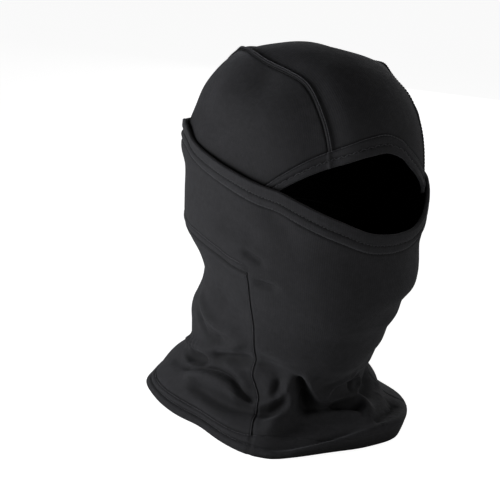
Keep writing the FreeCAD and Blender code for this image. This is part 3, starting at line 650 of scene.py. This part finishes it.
def shell(verts, quads, uvs, thick=1.3):
    """Gives a sheet its thickness on the inside; groups are 0 outer, 1 lining."""
    count = len(verts)
    inner = verts - vertex_normals(verts, quads) * thick
    edges = np.concatenate([quads[:, [k, (k + 1) % 4]] for k in range(4)])
    code = edges[:, 0].astype(np.int64) * count + edges[:, 1]
    reverse = edges[:, 1].astype(np.int64) * count + edges[:, 0]
    rim = edges[~np.isin(code, reverse)]
    rim_quads = np.stack([rim[:, 1], rim[:, 0], rim[:, 0] + count, rim[:, 1] + count], 1)
    faces = np.concatenate([quads, quads[:, ::-1] + count, rim_quads])
    groups = np.repeat([0, 1, 0], [len(quads), len(quads), len(rim)])
    uvs = np.concatenate([uvs, uvs[:, ::-1], np.zeros((len(rim), 4, 2))])
    return np.concatenate([verts, inner]), faces, uvs, groups


def add_object(name, data):
    made = bpy.data.objects.new(name, data)
    bpy.context.scene.collection.objects.link(made)
    return made


def build(name, verts, faces, uvs, groups, materials):
    mesh = bpy.data.meshes.new(name)
    mesh.from_pydata(to_metres(verts).tolist(), [], [list(map(int, face)) for face in faces])
    layer = mesh.uv_layers.new(name="cloth")
    layer.data.foreach_set("uv", np.asarray(uvs, np.float32).reshape(-1))
    for material in materials:
        mesh.materials.append(material)
    if groups is not None:
        mesh.polygons.foreach_set("material_index", np.asarray(groups, np.int32))
    mesh.polygons.foreach_set("use_smooth", [True] * len(mesh.polygons))
    mesh.validate()
    mesh.update()
    return add_object(name, mesh)


def tubes(name, lines, material, radius=0.36, sides=6, closed=False):
    """Round threads along lines of (points, normals), as one mesh."""
    verts, faces, uvs, first = [], [], [], 0
    for centre, normal in lines:
        count = len(centre)
        if closed:
            along = unit(np.roll(centre, -1, 0) - np.roll(centre, 1, 0))
        else:
            along = unit(np.gradient(centre, axis=0))
        across = unit(np.cross(along, normal))
        up = np.cross(across, along)
        turn = np.linspace(0, 2 * math.pi, sides, endpoint=False)[None, :, None]
        ring = np.cos(turn) * up[:, None] + np.sin(turn) * across[:, None]
        verts.append((centre[:, None] + radius * ring).reshape(-1, 3))
        quads, i, j = grid(count, sides, wrap_u=closed, wrap_v=True)
        faces += (quads + first).tolist()
        uvs.append(np.stack([i * 0.05, j / sides * 0.2], -1).reshape(-1, 2))
        if not closed:
            cap = first + np.arange(sides)
            faces += [cap.tolist(), (cap + (count - 1) * sides)[::-1].tolist()]
            uvs.append(np.zeros((2 * sides, 2)))
        first += count * sides
    return build(name, np.concatenate(verts), faces, np.concatenate(uvs), None, [material])


def stitch_line(surface, start, end, speed, period=2.6, high=0.32, zigzag=0.0, closed=False):
    """Line of a sewn thread. surface(u, sideways, height) gives points and
    normals; speed(u) is the millimetres of line per unit of u."""
    low = -0.35
    per_stitch = 6
    us = np.linspace(start, end, 1500)
    pieces = 0.5 * (speed(us[1:]) + speed(us[:-1])) * np.diff(us)
    length = np.concatenate([[0], np.cumsum(pieces)])
    count = max(2, int(round(length[-1] / period)))
    k = np.arange(count * per_stitch + (0 if closed else 1))
    u = np.interp(k / per_stitch * (length[-1] / count), length, us)
    phase = (k % per_stitch) / per_stitch
    height = low + (high - low) * smooth(np.sin(math.pi * phase) * 1.6)
    swing = np.where((k // per_stitch) % 2 == 0, 1 - 2 * phase, 2 * phase - 1)
    return surface(u, zigzag * swing, height)


def speed_of(line, step=0.2):
    """Speed along a line given as a function of u."""
    return lambda u: np.linalg.norm(line(u + step) - line(u - step), axis=-1) / (2 * step)


# ------------------------------------------------------------------ materials
def set_inputs(tree, node, inputs):
    """Fills inputs, by name or number, with values or links from sockets."""
    for key, value in inputs.items():
        if isinstance(value, bpy.types.NodeSocket):
            tree.links.new(value, node.inputs[key])
        else:
            node.inputs[key].default_value = value


def add_node(tree, kind, inputs={}, **settings):
    node = tree.nodes.new("ShaderNode" + kind)
    for key, value in settings.items():
        setattr(node, key, value)
    set_inputs(tree, node, inputs)
    return node


def new_material(name):
    material = bpy.data.materials.new(name)
    material.use_nodes = True
    return material, material.node_tree


def add_noise(tree, place, scale, detail=3.0, roughness=0.5):
    return add_node(tree, "TexNoise", {"Vector": place, "Scale": scale, "Detail": detail,
                                       "Roughness": roughness}).outputs[0]


def add_bump(tree, height, strength, distance):
    return add_node(tree, "Bump", {"Strength": strength, "Distance": distance,
                                   "Height": height}).outputs[0]


def add_ramp(tree, factor, base, stops):
    """Ramp between shades of the base; stops are (position, gain)."""
    ramp = add_node(tree, "ValToRGB", {0: factor})
    for element, (position, gain) in zip(ramp.color_ramp.elements, stops):
        element.position = position
        element.color = (*[c * gain for c in base], 1)
    return ramp.outputs[0]


def knit(name, base, sheen, rib=1.0):
    """Brushed stretch knit: rows of small V stitches, soft pile, uneven dye."""
    wale, course = 1.25, 0.95                # millimetres across and along a stitch
    roughness, roughness_spread = 0.88, 0.12
    material, tree = new_material(name)
    tree.nodes.clear()
    surface = add_node(tree, "BsdfPrincipled")
    add_node(tree, "OutputMaterial", {0: surface.outputs[0]})

    def calc(operation, *values):
        return add_node(tree, "Math", dict(enumerate(values)), operation=operation).outputs[0]

    def weighted(first, *others):
        """Sum of (socket, weight) terms."""
        term = calc("MULTIPLY", *first)
        return calc("ADD", term, weighted(*others)) if others else term

    uv = add_node(tree, "UVMap", uv_map="cloth")
    parts = add_node(tree, "SeparateXYZ", {0: uv.outputs[0]})
    place = add_node(tree, "TexCoord").outputs["Object"]
    # the cloth map is in centimetres
    across = calc("MULTIPLY", parts.outputs[0], 10.0 / wale)
    along = calc("MULTIPLY", parts.outputs[1], 10.0 / course)
    slant = calc("MULTIPLY", calc("PINGPONG", across, 0.5), 1.3)
    chevron = calc("ADD", along, slant)
    loops = calc("SINE", calc("MULTIPLY", chevron, 6.2832))
    wales = calc("SINE", calc("MULTIPLY", across, 6.2832))
    weave = weighted((loops, 0.5), (wales, 0.6))
    pile = add_noise(tree, place, scale=1500.0, roughness=0.65)
    nap = add_noise(tree, place, scale=260.0, detail=4.0, roughness=0.6)
    cloud = add_noise(tree, place, scale=34.0)
    height = weighted((weave, 0.30 * rib), (pile, 1.0), (nap, 1.1))
    # uneven black with lighter pile tips
    shade = weighted((nap, 0.75), (pile, 0.55), (weave, 0.16 * rib), (cloud, 0.55))
    colour = add_ramp(tree, calc("MULTIPLY", shade, 0.72), base,
                      stops=((0.55, 0.62), (1.0, 1.32)))
    # painted shade: ambient occlusion darkens the base colour and the sheen in creases
    near = add_node(tree, "AmbientOcclusion", {"Distance": 0.016}, samples=5)
    painted_crease_shade = calc("POWER", near.outputs["AO"], 1.7)
    shaded = add_node(tree, "VectorMath", {0: colour, "Scale": painted_crease_shade}, operation="SCALE")
    tips = calc("ADD", calc("MULTIPLY", nap, 0.9), 0.55)
    set_inputs(tree, surface, {
        "Normal": add_bump(tree, height, strength=0.55, distance=0.0003),
        "Base Color": shaded.outputs[0],
        "Roughness": calc("ADD", calc("MULTIPLY", cloud, roughness_spread),
                          roughness - roughness_spread / 2),
        "Specular IOR Level": 0.28,
        # the sheen is dimmed in creases too, as painted shade
        "Sheen Weight": calc("MULTIPLY", calc("MULTIPLY", tips, sheen), painted_crease_shade),
        "Sheen Roughness": 0.42,
        "Sheen Tint": (0.93, 0.94, 1.0, 1)})
    return material


def dull(name, base, rough=0.95, scale=900.0, sheen=0.0):
    """Lining, thread and tape: matt, with a fine uneven surface."""
    material, tree = new_material(name)
    place = add_node(tree, "TexCoord").outputs["Object"]
    grain = add_noise(tree, place, scale=scale)
    set_inputs(tree, tree.nodes["Principled BSDF"], {
        "Base Color": add_ramp(tree, grain, base, stops=((0.3, 0.6), (0.7, 1.4))),
        "Normal": add_bump(tree, grain, strength=0.5, distance=0.0002),
        "Roughness": rough,
        "Specular IOR Level": 0.15,
        "Sheen Weight": sheen})
    return material


KNIT = knit("brushed_knit_black", base=(0.0150, 0.0148, 0.0163), sheen=0.075)
HEM = knit("hem_knit_black", base=(0.0160, 0.0158, 0.0174), sheen=0.085, rib=0.8)
SEAM = knit("seam_knit_black", base=(0.0110, 0.0108, 0.0118), sheen=0.08, rib=0.5)
# the inside faces are real black fleece, but their near-zero colour, far darker than the outside
# knit, is painted shade that keeps the openings black
LINING_PAINTED_SHADE = dull("lining_black_painted_shade", base=(0.0008, 0.0008, 0.0009), scale=420.0)
THREAD = dull("sewing_thread_black", base=(0.037, 0.037, 0.040), rough=0.55, scale=2600.0,
              sheen=0.05)
LABEL = dull("label_tape_dark", base=(0.010, 0.010, 0.011), rough=0.6, scale=1800.0)

# --------------------------------------------------------------------- gaiter
INNER = graded(0.0, PANEL_ANGLE, 1.0, [(PANEL_ANGLE, 4.0, 0.45)])
OUTER = graded(PANEL_ANGLE, 180.0, 0.85, [(PANEL_ANGLE, 4.0, 0.45)])
HALF_TURN = np.concatenate([INNER, OUTER[1:]])
COLUMNS = np.concatenate([-HALF_TURN[:0:-1], HALF_TURN[:-1]])    # -180 to just under 180
MIDDLE = np.nonzero(np.abs(COLUMNS) <= PANEL_ANGLE + 1e-6)[0]


def stitch_groove(away, depth=1.0):
    return -depth * bell(away / 1.3)


def bottom_groove(angle, z):
    return stitch_groove(z - BOTTOM_ROWS[1], 1.6) * sewn(angle)


def mask_and_band():
    """The mask with its band round the back, and the neck front below it."""
    share = graded(0.0, 1.0, 0.0150, [(0.0, 0.12, 0.0065), (1.0, 0.06, 0.0075)])
    low = np.where(np.abs(COLUMNS) >= PANEL_ANGLE - 1e-6, hinge_z(COLUMNS), FRONT_TOP)
    top = mask_edge(COLUMNS) - MASK_ROWS[1]
    z = low[:, None] + (top - low)[:, None] * share[None, :]
    angle = np.broadcast_to(COLUMNS[:, None], z.shape)
    groove = stitch_groove(mask_edge(angle) - MASK_ROWS[1] - z)
    upper = gaiter_surface(angle, z, CLOTH_LIFT + groove).reshape(-1, 3)
    rows = len(share)
    quads, i, j = grid(len(COLUMNS), rows, wrap_u=True)
    turns = np.append(COLUMNS, COLUMNS[0] + 360.0)
    uv = cloth_uv(turns[i] * CLOTH_PER_DEGREE, z[i % len(COLUMNS), j])
    # the front carries on down between the side seams
    bottom = BOTTOM_ROWS[1]
    drop = graded(bottom, FRONT_TOP, 1.0, [(bottom, 5.0, 0.4)])[:-1]
    front = COLUMNS[MIDDLE]
    z = np.broadcast_to(drop[None, :], (len(front), len(drop)))
    angle = front[:, None] / PANEL_ANGLE * seam_angle(z)
    lower = gaiter_surface(angle, z, CLOTH_LIFT + bottom_groove(angle, z)).reshape(-1, 3)
    base = len(upper)
    front_quads, i, j = grid(len(front), len(drop))
    front_uv = cloth_uv(front[i] * CLOTH_PER_DEGREE, drop[j])
    # a row of quads ties the two together
    i = np.arange(len(front) - 1)
    last = len(drop) - 1
    tie = np.stack([base + i * len(drop) + last, base + (i + 1) * len(drop) + last,
                    MIDDLE[i + 1] * rows, MIDDLE[i] * rows], 1)
    tie_across = np.stack([front[i], front[i + 1], front[i + 1], front[i]], 1)
    tie_along = np.array([drop[last], drop[last], FRONT_TOP, FRONT_TOP])
    tie_uv = cloth_uv(tie_across * CLOTH_PER_DEGREE, np.broadcast_to(tie_along, (len(i), 4)))
    sheet = shell(np.concatenate([upper, lower]),
                  np.concatenate([quads, front_quads + base, tie]),
                  np.concatenate([uv, front_uv, tie_uv]))
    return build("mask_and_band_cloth", *sheet, [KNIT, LINING_PAINTED_SHADE])


def neck_back():
    """The neck below the hinge seam, round the back between the side seams."""
    columns = np.concatenate([OUTER, 360.0 - OUTER[-2::-1]])
    share = graded(0.0, 1.0, 0.0085, [(0.0, 0.05, 0.0035), (1.0, 0.05, 0.0045)])
    bottom = BOTTOM_ROWS[1]
    z = bottom + (hinge_z(columns) - bottom)[:, None] * share[None, :]
    from_back = (columns[:, None] - 180.0) / (180.0 - PANEL_ANGLE)
    angle = 180.0 + from_back * (180.0 - seam_angle(z))
    points = gaiter_surface(angle, z, CLOTH_LIFT + bottom_groove(angle, z))
    quads, i, j = grid(len(columns), len(share))
    uv = cloth_uv(columns[i] * CLOTH_PER_DEGREE, z[i, j])
    return build("neck_back_cloth", *shell(points.reshape(-1, 3), quads, uv), [KNIT, LINING_PAINTED_SHADE])


def hem(name, columns, closed, point, rows, pads, inner=-2.0, dip=1.15, painted_shade_from=999.0):
    """Folded hem: padded outside between its rows, round rim, flat inside.
    point(column, inset, height) is a place inset millimetres in from the rim.
    Beyond the column of the last argument the rim is painted with the near-black lining colour as
    shade."""
    first, last = rows
    turn_in = 0.9                            # depth of the round rim
    outer = graded(turn_in, last, 0.75, [(first, 2.0, 0.35), (last, 2.0, 0.35),
                                         (turn_in, 1.5, 0.35)])[::-1]
    # height of an end station, should rounding carry it past the last row
    outer_height = np.full(len(outer), 0.15 - dip)
    for start, end, pad in ((0.0, first, pads[0]), (first, last, pads[1])):
        between = (outer >= start) & (outer <= end)
        inset = outer[between]
        full = np.clip(4 * (inset - start) * (end - inset) / (end - start) ** 2, 0, 1) ** 0.42
        outer_height[between] = -dip + (pad + dip) * full
    # the first pad reaches the rim instead of closing on it
    outer_height[outer < first * 0.5] = pads[0]
    turn = np.linspace(0.25, math.pi - 0.25, 7)
    rim = turn_in - np.sin(turn) * turn_in
    rim_height = 0.5 * (pads[0] + inner) + 0.5 * (pads[0] - inner) * np.cos(turn)
    inside = np.linspace(turn_in, last + 1.6, 12)
    insets = np.concatenate([outer, rim, inside, [last + 1.4]])
    heights = np.concatenate([outer_height, rim_height, np.full(len(inside), inner),
                              [inner + 0.9]])
    column, inset = np.meshgrid(columns, insets, indexing="ij")
    points = point(column, inset, np.broadcast_to(heights, inset.shape))
    verts = points.reshape(-1, 3)
    count = len(insets)
    quads, i, j = grid(len(columns), count, wrap_u=closed, wrap_v=True)
    run = np.concatenate([[0], np.cumsum(np.hypot(np.diff(insets), np.diff(heights)))])
    run = np.append(run, run[-1] + 1.0)
    turns = np.append(columns, columns[0] + 360.0)
    uvs = cloth_uv(turns[i] * CLOTH_PER_DEGREE, run[j])
    # inner faces, and rim faces past the column, take the near-black lining colour: painted shade
    painted_dark = j[:, 0] >= len(outer) + len(rim) - 1
    painted_dark |= (columns[i[:, 0]] > painted_shade_from) & (j[:, 0] >= len(outer) + 2)
    groups = painted_dark.astype(int)
    caps = []
    if not closed:
        end_cap = (len(columns) - 1) * count
        caps = [list(range(count))[::-1], list(range(end_cap, end_cap + count))]
    # faces that look at the middle of the section are turned outward
    corner = verts[quads[:, 0]]
    normals = np.cross(verts[quads[:, 1]] - corner, verts[quads[:, 3]] - corner)
    if np.sum(normals * (corner - points.mean(axis=1)[i[:, 0]])) < 0:
        quads, uvs = quads[:, ::-1], uvs[:, ::-1]
        caps = [cap[::-1] for cap in caps]
    uvs = np.concatenate([uvs.reshape(-1, 2), np.zeros((count * len(caps), 2))])
    groups = np.concatenate([groups, np.ones(len(caps), int)])
    return build(name, verts, quads.tolist() + caps, uvs, groups, [HEM, LINING_PAINTED_SHADE])


def mask_hem_point(angle, inset, height):
    return gaiter_surface(angle, mask_edge(angle) - inset, height + CLOTH_LIFT)


def bottom_hem_point(angle, inset, height):
    """The outside of the hem loses its pads where the curl hides the rows."""
    shown = sewn(angle)
    flat = 1.0 - 0.12 * np.maximum(inset, 0.0)
    outside = (height > -1.95) & (inset < BOTTOM_ROWS[1] + 0.4)
    plain = np.minimum(flat, height + 3.0)
    height = np.where(outside, height * shown + plain * (1 - shown), height)
    # the rim hangs below the edge
    hang = np.stack([0 * inset, 0 * inset, np.minimum(inset, 0.0)], -1)
    return gaiter_surface(angle, np.maximum(inset, 0.0), height + CLOTH_LIFT) + hang


def gaiter_stitch(z_at, lift, start, end, **sewing):
    """Thread line round the gaiter at the height z_at(angle)."""
    def surface(angle, sideways, height):
        z = z_at(angle) + sideways
        return gaiter_surface(angle, z, lift + height), gaiter_normal(angle, z)
    speed = speed_of(lambda angle: gaiter_at(angle, z_at(angle)))
    return stitch_line(surface, start, end, speed, **sewing)


def ring_stitch(name, z_at, rows):
    """Closed stitch rows of (row, lift, zigzag) at the height z_at(angle, row)."""
    lines = []
    for row, lift, zigzag in rows:
        lines.append(gaiter_stitch(lambda angle: z_at(angle, row), lift, -180.0, 180.0,
                                   zigzag=zigzag, closed=True))
    return tubes(name, lines, THREAD, closed=True)


def hinge_threads():
    """Topstitch above the hinge seam, and the cord in the seam."""
    line = gaiter_stitch(lambda angle: hinge_z(angle) + HINGE_STITCH, 0.25, 62.0, 298.0)
    stitch = tubes("hinge_seam_topstitch_thread", [line], THREAD)
    angle = np.linspace(60.5, 299.5, 420)
    z = hinge_z(angle)
    cord = tubes("hinge_seam_cord", [(gaiter_surface(angle, z, 0.1), gaiter_normal(angle, z))],
                 SEAM, radius=0.75, sides=8)
    return stitch, cord


def side_seam(side, word):
    """Cord in the side seam, and the stitches beside it."""
    z = np.linspace(BOTTOM_ROWS[1] - 0.5, 127.0, 150)
    angle = side * seam_angle(z)
    cord = tubes("side_seam_cord_" + word,
                 [(gaiter_surface(angle, z, 0.15), gaiter_normal(angle, z))],
                 SEAM, radius=0.3, sides=8)

    def surface(z, sideways, height):
        radius = gaiter_base(side * seam_angle(z), z)[0]
        angle = side * (seam_angle(z) + np.degrees((sideways + 0.9) / radius))
        return gaiter_surface(angle, z, 0.2 + height), gaiter_normal(angle, z)
    line = stitch_line(surface, BOTTOM_ROWS[1], 126.5, lambda z: 1.0 + 0 * z,
                       period=2.8, high=0.25)
    return cord, tubes("side_seam_stitch_" + word, [line], THREAD, radius=0.3)


# ----------------------------------------------------------------------- hood
# How strongly each side's crown seam stands out.
SEAM_STRENGTH = {-1: 1.0, 1: 0.4}


def above_brow(azimuth, elevation):
    """Millimetres above the top row of the brow hem."""
    return np.radians(elevation - brow_elevation(azimuth, BROW_ROWS[1])) * BROW_RADIUS


def crown_centre():
    """Strip between the crown seams, from the brow over to the nape."""
    across = graded(-1.0, 1.0, 0.030, [(-1.0, 0.14, 0.011), (1.0, 0.14, 0.011)])
    start = brow_arc(across)
    share = graded(0.0, 1.0, 0.0042, [(0.0, 0.02, 0.0016)])
    arc = start[:, None] + (201.0 - start)[:, None] * share[None, :]
    x = seam_x(arc) * across[:, None]
    points = crown_at(arc, x)
    away = nearest_seam(points)
    azimuth, elevation = hood_angles(points)
    # the turned seam allowance lies on this strip
    allowance = 1.25 * smooth((away + 0.3) / 0.7) * smooth((3.0 - away) / 2.0)
    strength = np.where(across > 0, SEAM_STRENGTH[1], SEAM_STRENGTH[-1])[:, None]
    groove = stitch_groove(above_brow(azimuth, elevation)) * (np.abs(azimuth) < 80)
    surface = hood_surface(points, allowance * strength + groove)
    quads, i, j = grid(len(across), len(share))
    uv = cloth_uv(x[i, j], arc[i, j] * CLOTH_PER_RISE)
    return build("crown_center_cloth", *shell(surface.reshape(-1, 3), quads, uv), [KNIT, LINING_PAINTED_SHADE])


def crown_side(side, word):
    """Side of the hood below its crown seam."""
    arcs = np.linspace(float(brow_arc(side)), 199.0, 200)
    seam_azimuth, seam_elevation = hood_angles(crown_at(arcs, side * seam_x(arcs)))
    seam_azimuth = np.abs(seam_azimuth)
    order = np.argsort(seam_azimuth)
    seam_azimuth, seam_elevation = seam_azimuth[order], seam_elevation[order]
    share = 0.5 - 0.5 * np.cos(np.pi * np.linspace(0, 1, 170))
    first, last = seam_azimuth[0], seam_azimuth[-1]
    columns = first + 0.05 + (last - first - 0.1) * share
    top = np.interp(columns, seam_azimuth, seam_elevation)
    # the lower edge passes from the brow hem to a level line further back
    low_band = elevation_at(side * columns, BAND_LOW)
    low_brow = brow_elevation(side * columns, BROW_ROWS[1])
    behind = smooth((columns - 66.0) / 9.0)
    low = np.minimum(low_brow * (1 - behind) + low_band * behind, top - 0.05)
    rows = graded(0.0, 1.0, 0.0115, [(0.0, 0.03, 0.005), (1.0, 0.10, 0.0045)])
    elevation = low[:, None] + (top - low)[:, None] * rows[None, :]
    azimuth = side * columns[:, None] + 0 * elevation
    points = hood_at(azimuth, elevation)
    ditch = -0.7 * bell(seam_distance(points, side) / 1.3) * SEAM_STRENGTH[side]
    groove = stitch_groove(above_brow(azimuth, elevation)) * (1 - behind)[:, None]
    surface = hood_surface(points, ditch + groove)
    quads, i, j = grid(len(columns), len(rows))
    uv = cloth_uv(azimuth[i, j] * CLOTH_PER_DEGREE, elevation[i, j] * CLOTH_PER_RISE)
    if side < 0:
        quads, uv = quads[:, ::-1], uv[:, ::-1]
    return build("crown_side_cloth_" + word, *shell(surface.reshape(-1, 3), quads, uv),
                 [KNIT, LINING_PAINTED_SHADE])


def brow_hem_point(azimuth, inset, height):
    """The outside of the hem rises over the crown seams."""
    points = hood_at(azimuth, brow_elevation(azimuth, inset))
    over_seam = 0.9 * bell(nearest_seam(points) / 1.2)
    return hood_surface(points, height + np.where(height > -1.3, over_seam, 0.0))


def brow_stitch_rows():
    lines = []
    speed = speed_of(lambda azimuth: hood_at(azimuth, brow_elevation(azimuth)))
    for row, lift, zigzag in zip(BROW_ROWS, (-0.4, -0.3), (0.6, 0.0)):
        def surface(azimuth, sideways, height):
            points = hood_at(azimuth, brow_elevation(azimuth, row + sideways))
            return hood_surface(points, lift + height), hood_normal(points)
        lines.append(stitch_line(surface, -62.0, 54.0, speed, zigzag=zigzag))
    return tubes("brow_hem_coverstitch_thread", lines, THREAD)


def crown_seam(side, word):
    """Cord in the crown seam, and the topstitch on the centre strip."""
    start = float(brow_arc(side)) - 0.3
    arc = np.linspace(start, 198.0, 330)
    points = crown_at(arc, side * seam_x(arc))
    cord = tubes("crown_seam_cord_" + word, [(hood_surface(points, -0.45), hood_normal(points))],
                 SEAM, radius=0.45 if side < 0 else 0.36, sides=8)

    def surface(arc, sideways, height):
        points = crown_at(arc, side * (seam_x(arc) - TOPSTITCH) + sideways)
        return hood_surface(points, 1.05 * SEAM_STRENGTH[side] + height), hood_normal(points)
    line = stitch_line(surface, start + 0.6, 197.0, lambda arc: CLOTH_PER_ARC + 0 * arc)
    return cord, tubes("crown_topstitch_thread_" + word, [line], THREAD)


CLOTH_PER_ARC = 1.75       # millimetres of crown seam for a degree of arc


def care_label():
    """Tape inside the back of the neck."""
    across, up = np.linspace(-12, 12, 25), np.linspace(116.5, 127.5, 12)
    x, z = np.meshgrid(across, up, indexing="ij")
    angle = 180.0 + np.degrees(x / 60.0)
    radius, middle = gaiter_base(angle, z)
    # set in from the cloth, its lower edge a little further
    radius = radius - 3.1 - 0.25 * bell((z - 116.5) / 3.0) - 0.2 * np.cos(x / 12.0 * 3.0)
    quads, i, j = grid(len(across), len(up))
    verts, faces, uvs, _ = shell(around(angle, z, radius, middle).reshape(-1, 3), quads,
                                 cloth_uv(across[i], up[j]), thick=0.35)
    return build("care_label_tape", verts, faces, uvs, None, [LABEL])


# ----------------------------------------------------------------- the pieces
SIDES = ((-1, "right"), (1, "left"))
cloth = mask_and_band()
back = neck_back()
mask_hem = hem("mask_hem_fold", COLUMNS, True, mask_hem_point, MASK_ROWS, pads=(1.15, 0.85))
bottom_hem = hem("bottom_hem_fold", COLUMNS, True, bottom_hem_point, BOTTOM_ROWS,
                 pads=(1.9, 1.0), inner=-2.6, dip=1.8)
mask_stitch = ring_stitch("mask_hem_coverstitch_thread",
                          lambda angle, row: mask_edge(angle) - row,
                          zip(MASK_ROWS, (-0.45, -0.35), (0.75, 0.0)))
bottom_stitch = ring_stitch("bottom_hem_coverstitch_thread",
                            lambda angle, row: row + 0 * angle,
                            zip(BOTTOM_ROWS, (-1.1, -1.0), (0.0, 0.0)))
hinge_stitch, hinge_cord = hinge_threads()
side_seams = {word: side_seam(side, word) for side, word in SIDES}
centre = crown_centre()
crown_sides = {word: crown_side(side, word) for side, word in SIDES}
brow_hem = hem("brow_hem_fold", graded(-64.0, 56.0, 0.5), False, brow_hem_point, BROW_ROWS,
               pads=(0.8, 0.55), inner=-1.9, painted_shade_from=34.0)
brow_stitch = brow_stitch_rows()
crown_seams = {word: crown_seam(side, word) for side, word in SIDES}
label = care_label()


# -------------------------------------------------------------- what moves it
def place(x, y, z):
    return tuple(to_metres(np.array([x, y, z])))


# the mask's cloth, its hem and its stitches are baked in place
for piece in (cloth, mask_hem, mask_stitch):
    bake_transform(piece)
for piece in (back, bottom_hem, bottom_stitch, hinge_stitch, hinge_cord, label):
    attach(piece, "hood_and_neck")
for pair in side_seams.values():
    for piece in pair:
        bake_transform(piece)
# the crown pieces are baked in place; the brow hem and its stitches go on the brow body
for piece in [centre, *crown_sides.values(), *crown_seams["right"], *crown_seams["left"]]:
    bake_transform(piece)
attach(brow_hem, "brow")
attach(brow_stitch, "brow")

# piece, its material slot, the CAD pieces it replaces
ROLES = [
    (cloth, "black_knit", "mask_panel", "neck_front_panel", "back_band"),
    (mask_hem, "hem_knit", "mask_hem", "back_band_hem"),
    (mask_stitch, "black_thread", "mask_hem_coverstitch", "back_band_coverstitch"),
    (back, "black_knit", "neck_back_panel"),
    (bottom_hem, "hem_knit", "bottom_hem"),
    (bottom_stitch, "black_thread", "bottom_hem_coverstitch"),
    (hinge_cord, "seam_knit", "hinge_seam"),
    (hinge_stitch, "black_thread", "hinge_seam_topstitch"),
    (label, "label_tape", "care_label"),
    (centre, "black_knit", "crown_center_panel"),
    (brow_hem, "hem_knit", "brow_hem"),
    (brow_stitch, "black_thread", "brow_hem_coverstitch")]
for _, word in SIDES:
    ROLES += [
        (crown_sides[word], "black_knit", "crown_side_panel_" + word),
        (crown_seams[word][0], "seam_knit", "crown_seam_welt_" + word),
        (crown_seams[word][1], "black_thread", "crown_topstitch_" + word),
        (side_seams[word][0], "seam_knit", "side_seam_" + word),
        (side_seams[word][1], "black_thread", "side_seam_thread_" + word)]
for piece, slot, *replaced in ROLES:
    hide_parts(*replaced)


# ---------------------------------------------------------------------- stage
def floor_material():
    """Grey to the light, near white to the camera."""
    material, tree = new_material("studio_floor")
    tree.nodes.clear()
    diffuse = add_node(tree, "BsdfDiffuse", {0: (0.55, 0.55, 0.55, 1)})
    path = add_node(tree, "LightPath")
    glow = add_node(tree, "Math", {0: path.outputs["Is Camera Ray"], 1: 0.90, 2: 0.02},
                    operation="MULTIPLY_ADD")
    emission = add_node(tree, "Emission", {0: (1, 1, 1, 1), 1: glow.outputs[0]})
    both = add_node(tree, "AddShader", {0: diffuse.outputs[0], 1: emission.outputs[0]})
    add_node(tree, "OutputMaterial", {0: both.outputs[0]})
    return material


def add_floor(reach=12.0, z=-0.0006):
    """Square floor, in metres, just under the hem."""
    mesh = bpy.data.meshes.new("floor")
    corners = [(-reach, -reach, z), (reach, -reach, z), (reach, reach, z), (-reach, reach, z)]
    mesh.from_pydata(corners, [], [(0, 1, 2, 3)])
    mesh.materials.append(floor_material())
    add_object("floor", mesh)


def set_world():
    """White to the camera; otherwise dim, and dimmer overhead than below."""
    world = bpy.data.worlds.new("studio")
    bpy.context.scene.world = world
    world.use_nodes = True
    tree = world.node_tree
    path = add_node(tree, "LightPath")
    where = add_node(tree, "TexCoord")
    part = add_node(tree, "SeparateXYZ", {0: where.outputs["Generated"]})
    dim = add_node(tree, "Math", {0: part.outputs[2], 1: -0.09, 2: 0.11},
                   operation="MULTIPLY_ADD")
    strength = add_node(tree, "Math", {0: path.outputs["Is Camera Ray"], 1: dim.outputs[0]},
                        operation="MAXIMUM")
    set_inputs(tree, tree.nodes["Background"], {0: (1.0, 1.0, 1.0, 1), 1: strength.outputs[0]})


add_floor()
set_world()

# ------------------------------------------------------------ camera, lights
YAW, PITCH, ROLL = math.radians(54.3777), math.radians(-18.3870), math.radians(4.4)
FORWARD = np.array([math.cos(PITCH) * math.cos(YAW), math.cos(PITCH) * math.sin(YAW),
                    math.sin(PITCH)])
RIGHT = unit(np.cross(FORWARD, [0, 0, 1]))
LEVEL_FORWARD = unit(np.array([FORWARD[0], FORWARD[1], 0.0]))


def add_camera():
    data = bpy.data.cameras.new("camera")
    data.sensor_width = 36.0
    data.lens = 81.457
    data.clip_end = 60.0
    camera = add_object("camera", data)
    upward = np.cross(RIGHT, FORWARD)
    rolled_right = RIGHT * math.cos(ROLL) + upward * math.sin(ROLL)
    rolled_up = upward * math.cos(ROLL) - RIGHT * math.sin(ROLL)
    axes = zip(rolled_right, rolled_up, -FORWARD, place(-492.529, -630.409, 385.0))
    camera.matrix_world = Matrix([*axes, (0, 0, 0, 1)])
    bpy.context.scene.camera = camera


# Soft boxes: name, direction (camera's right, its level forward, up), distance
# and size in metres, watts, colour.
LIGHTS = [
    ("key", (-1.0, -0.34, 0.05), 0.66, 0.34, 4.9, (0.96, 0.97, 1.0)),
    ("front", (0.80, -1.0, 0.20), 1.0, 0.7, 3.4, (1, 1, 1)),
    ("side", (1.0, 0.75, 0.55), 1.3, 0.8, 1.4, (1, 1, 1)),
    ("back", (0.3, 1.0, 0.25), 1.4, 0.9, 2.6, (1, 1, 1))]


def add_lights():
    """Every soft box looks at a point in the mask, in metres."""
    target = Vector((0, 0, 0.14))
    for name, (right, forward, up), distance, size, power, colour in LIGHTS:
        data = bpy.data.lights.new(name, "AREA")
        data.shape = "SQUARE"
        data.size = size
        data.energy = power
        data.color = colour
        light = add_object(name, data)
        direction = right * RIGHT + forward * LEVEL_FORWARD + np.array([0, 0, up])
        light.location = target + Vector(unit(direction)) * distance
        aim = target - light.location
        light.rotation_euler = aim.to_track_quat("-Z", "Y").to_euler()


add_camera()
add_lights()
bpy.context.scene.view_settings.view_transform = "Standard"
bpy.context.scene.view_settings.look = "None"
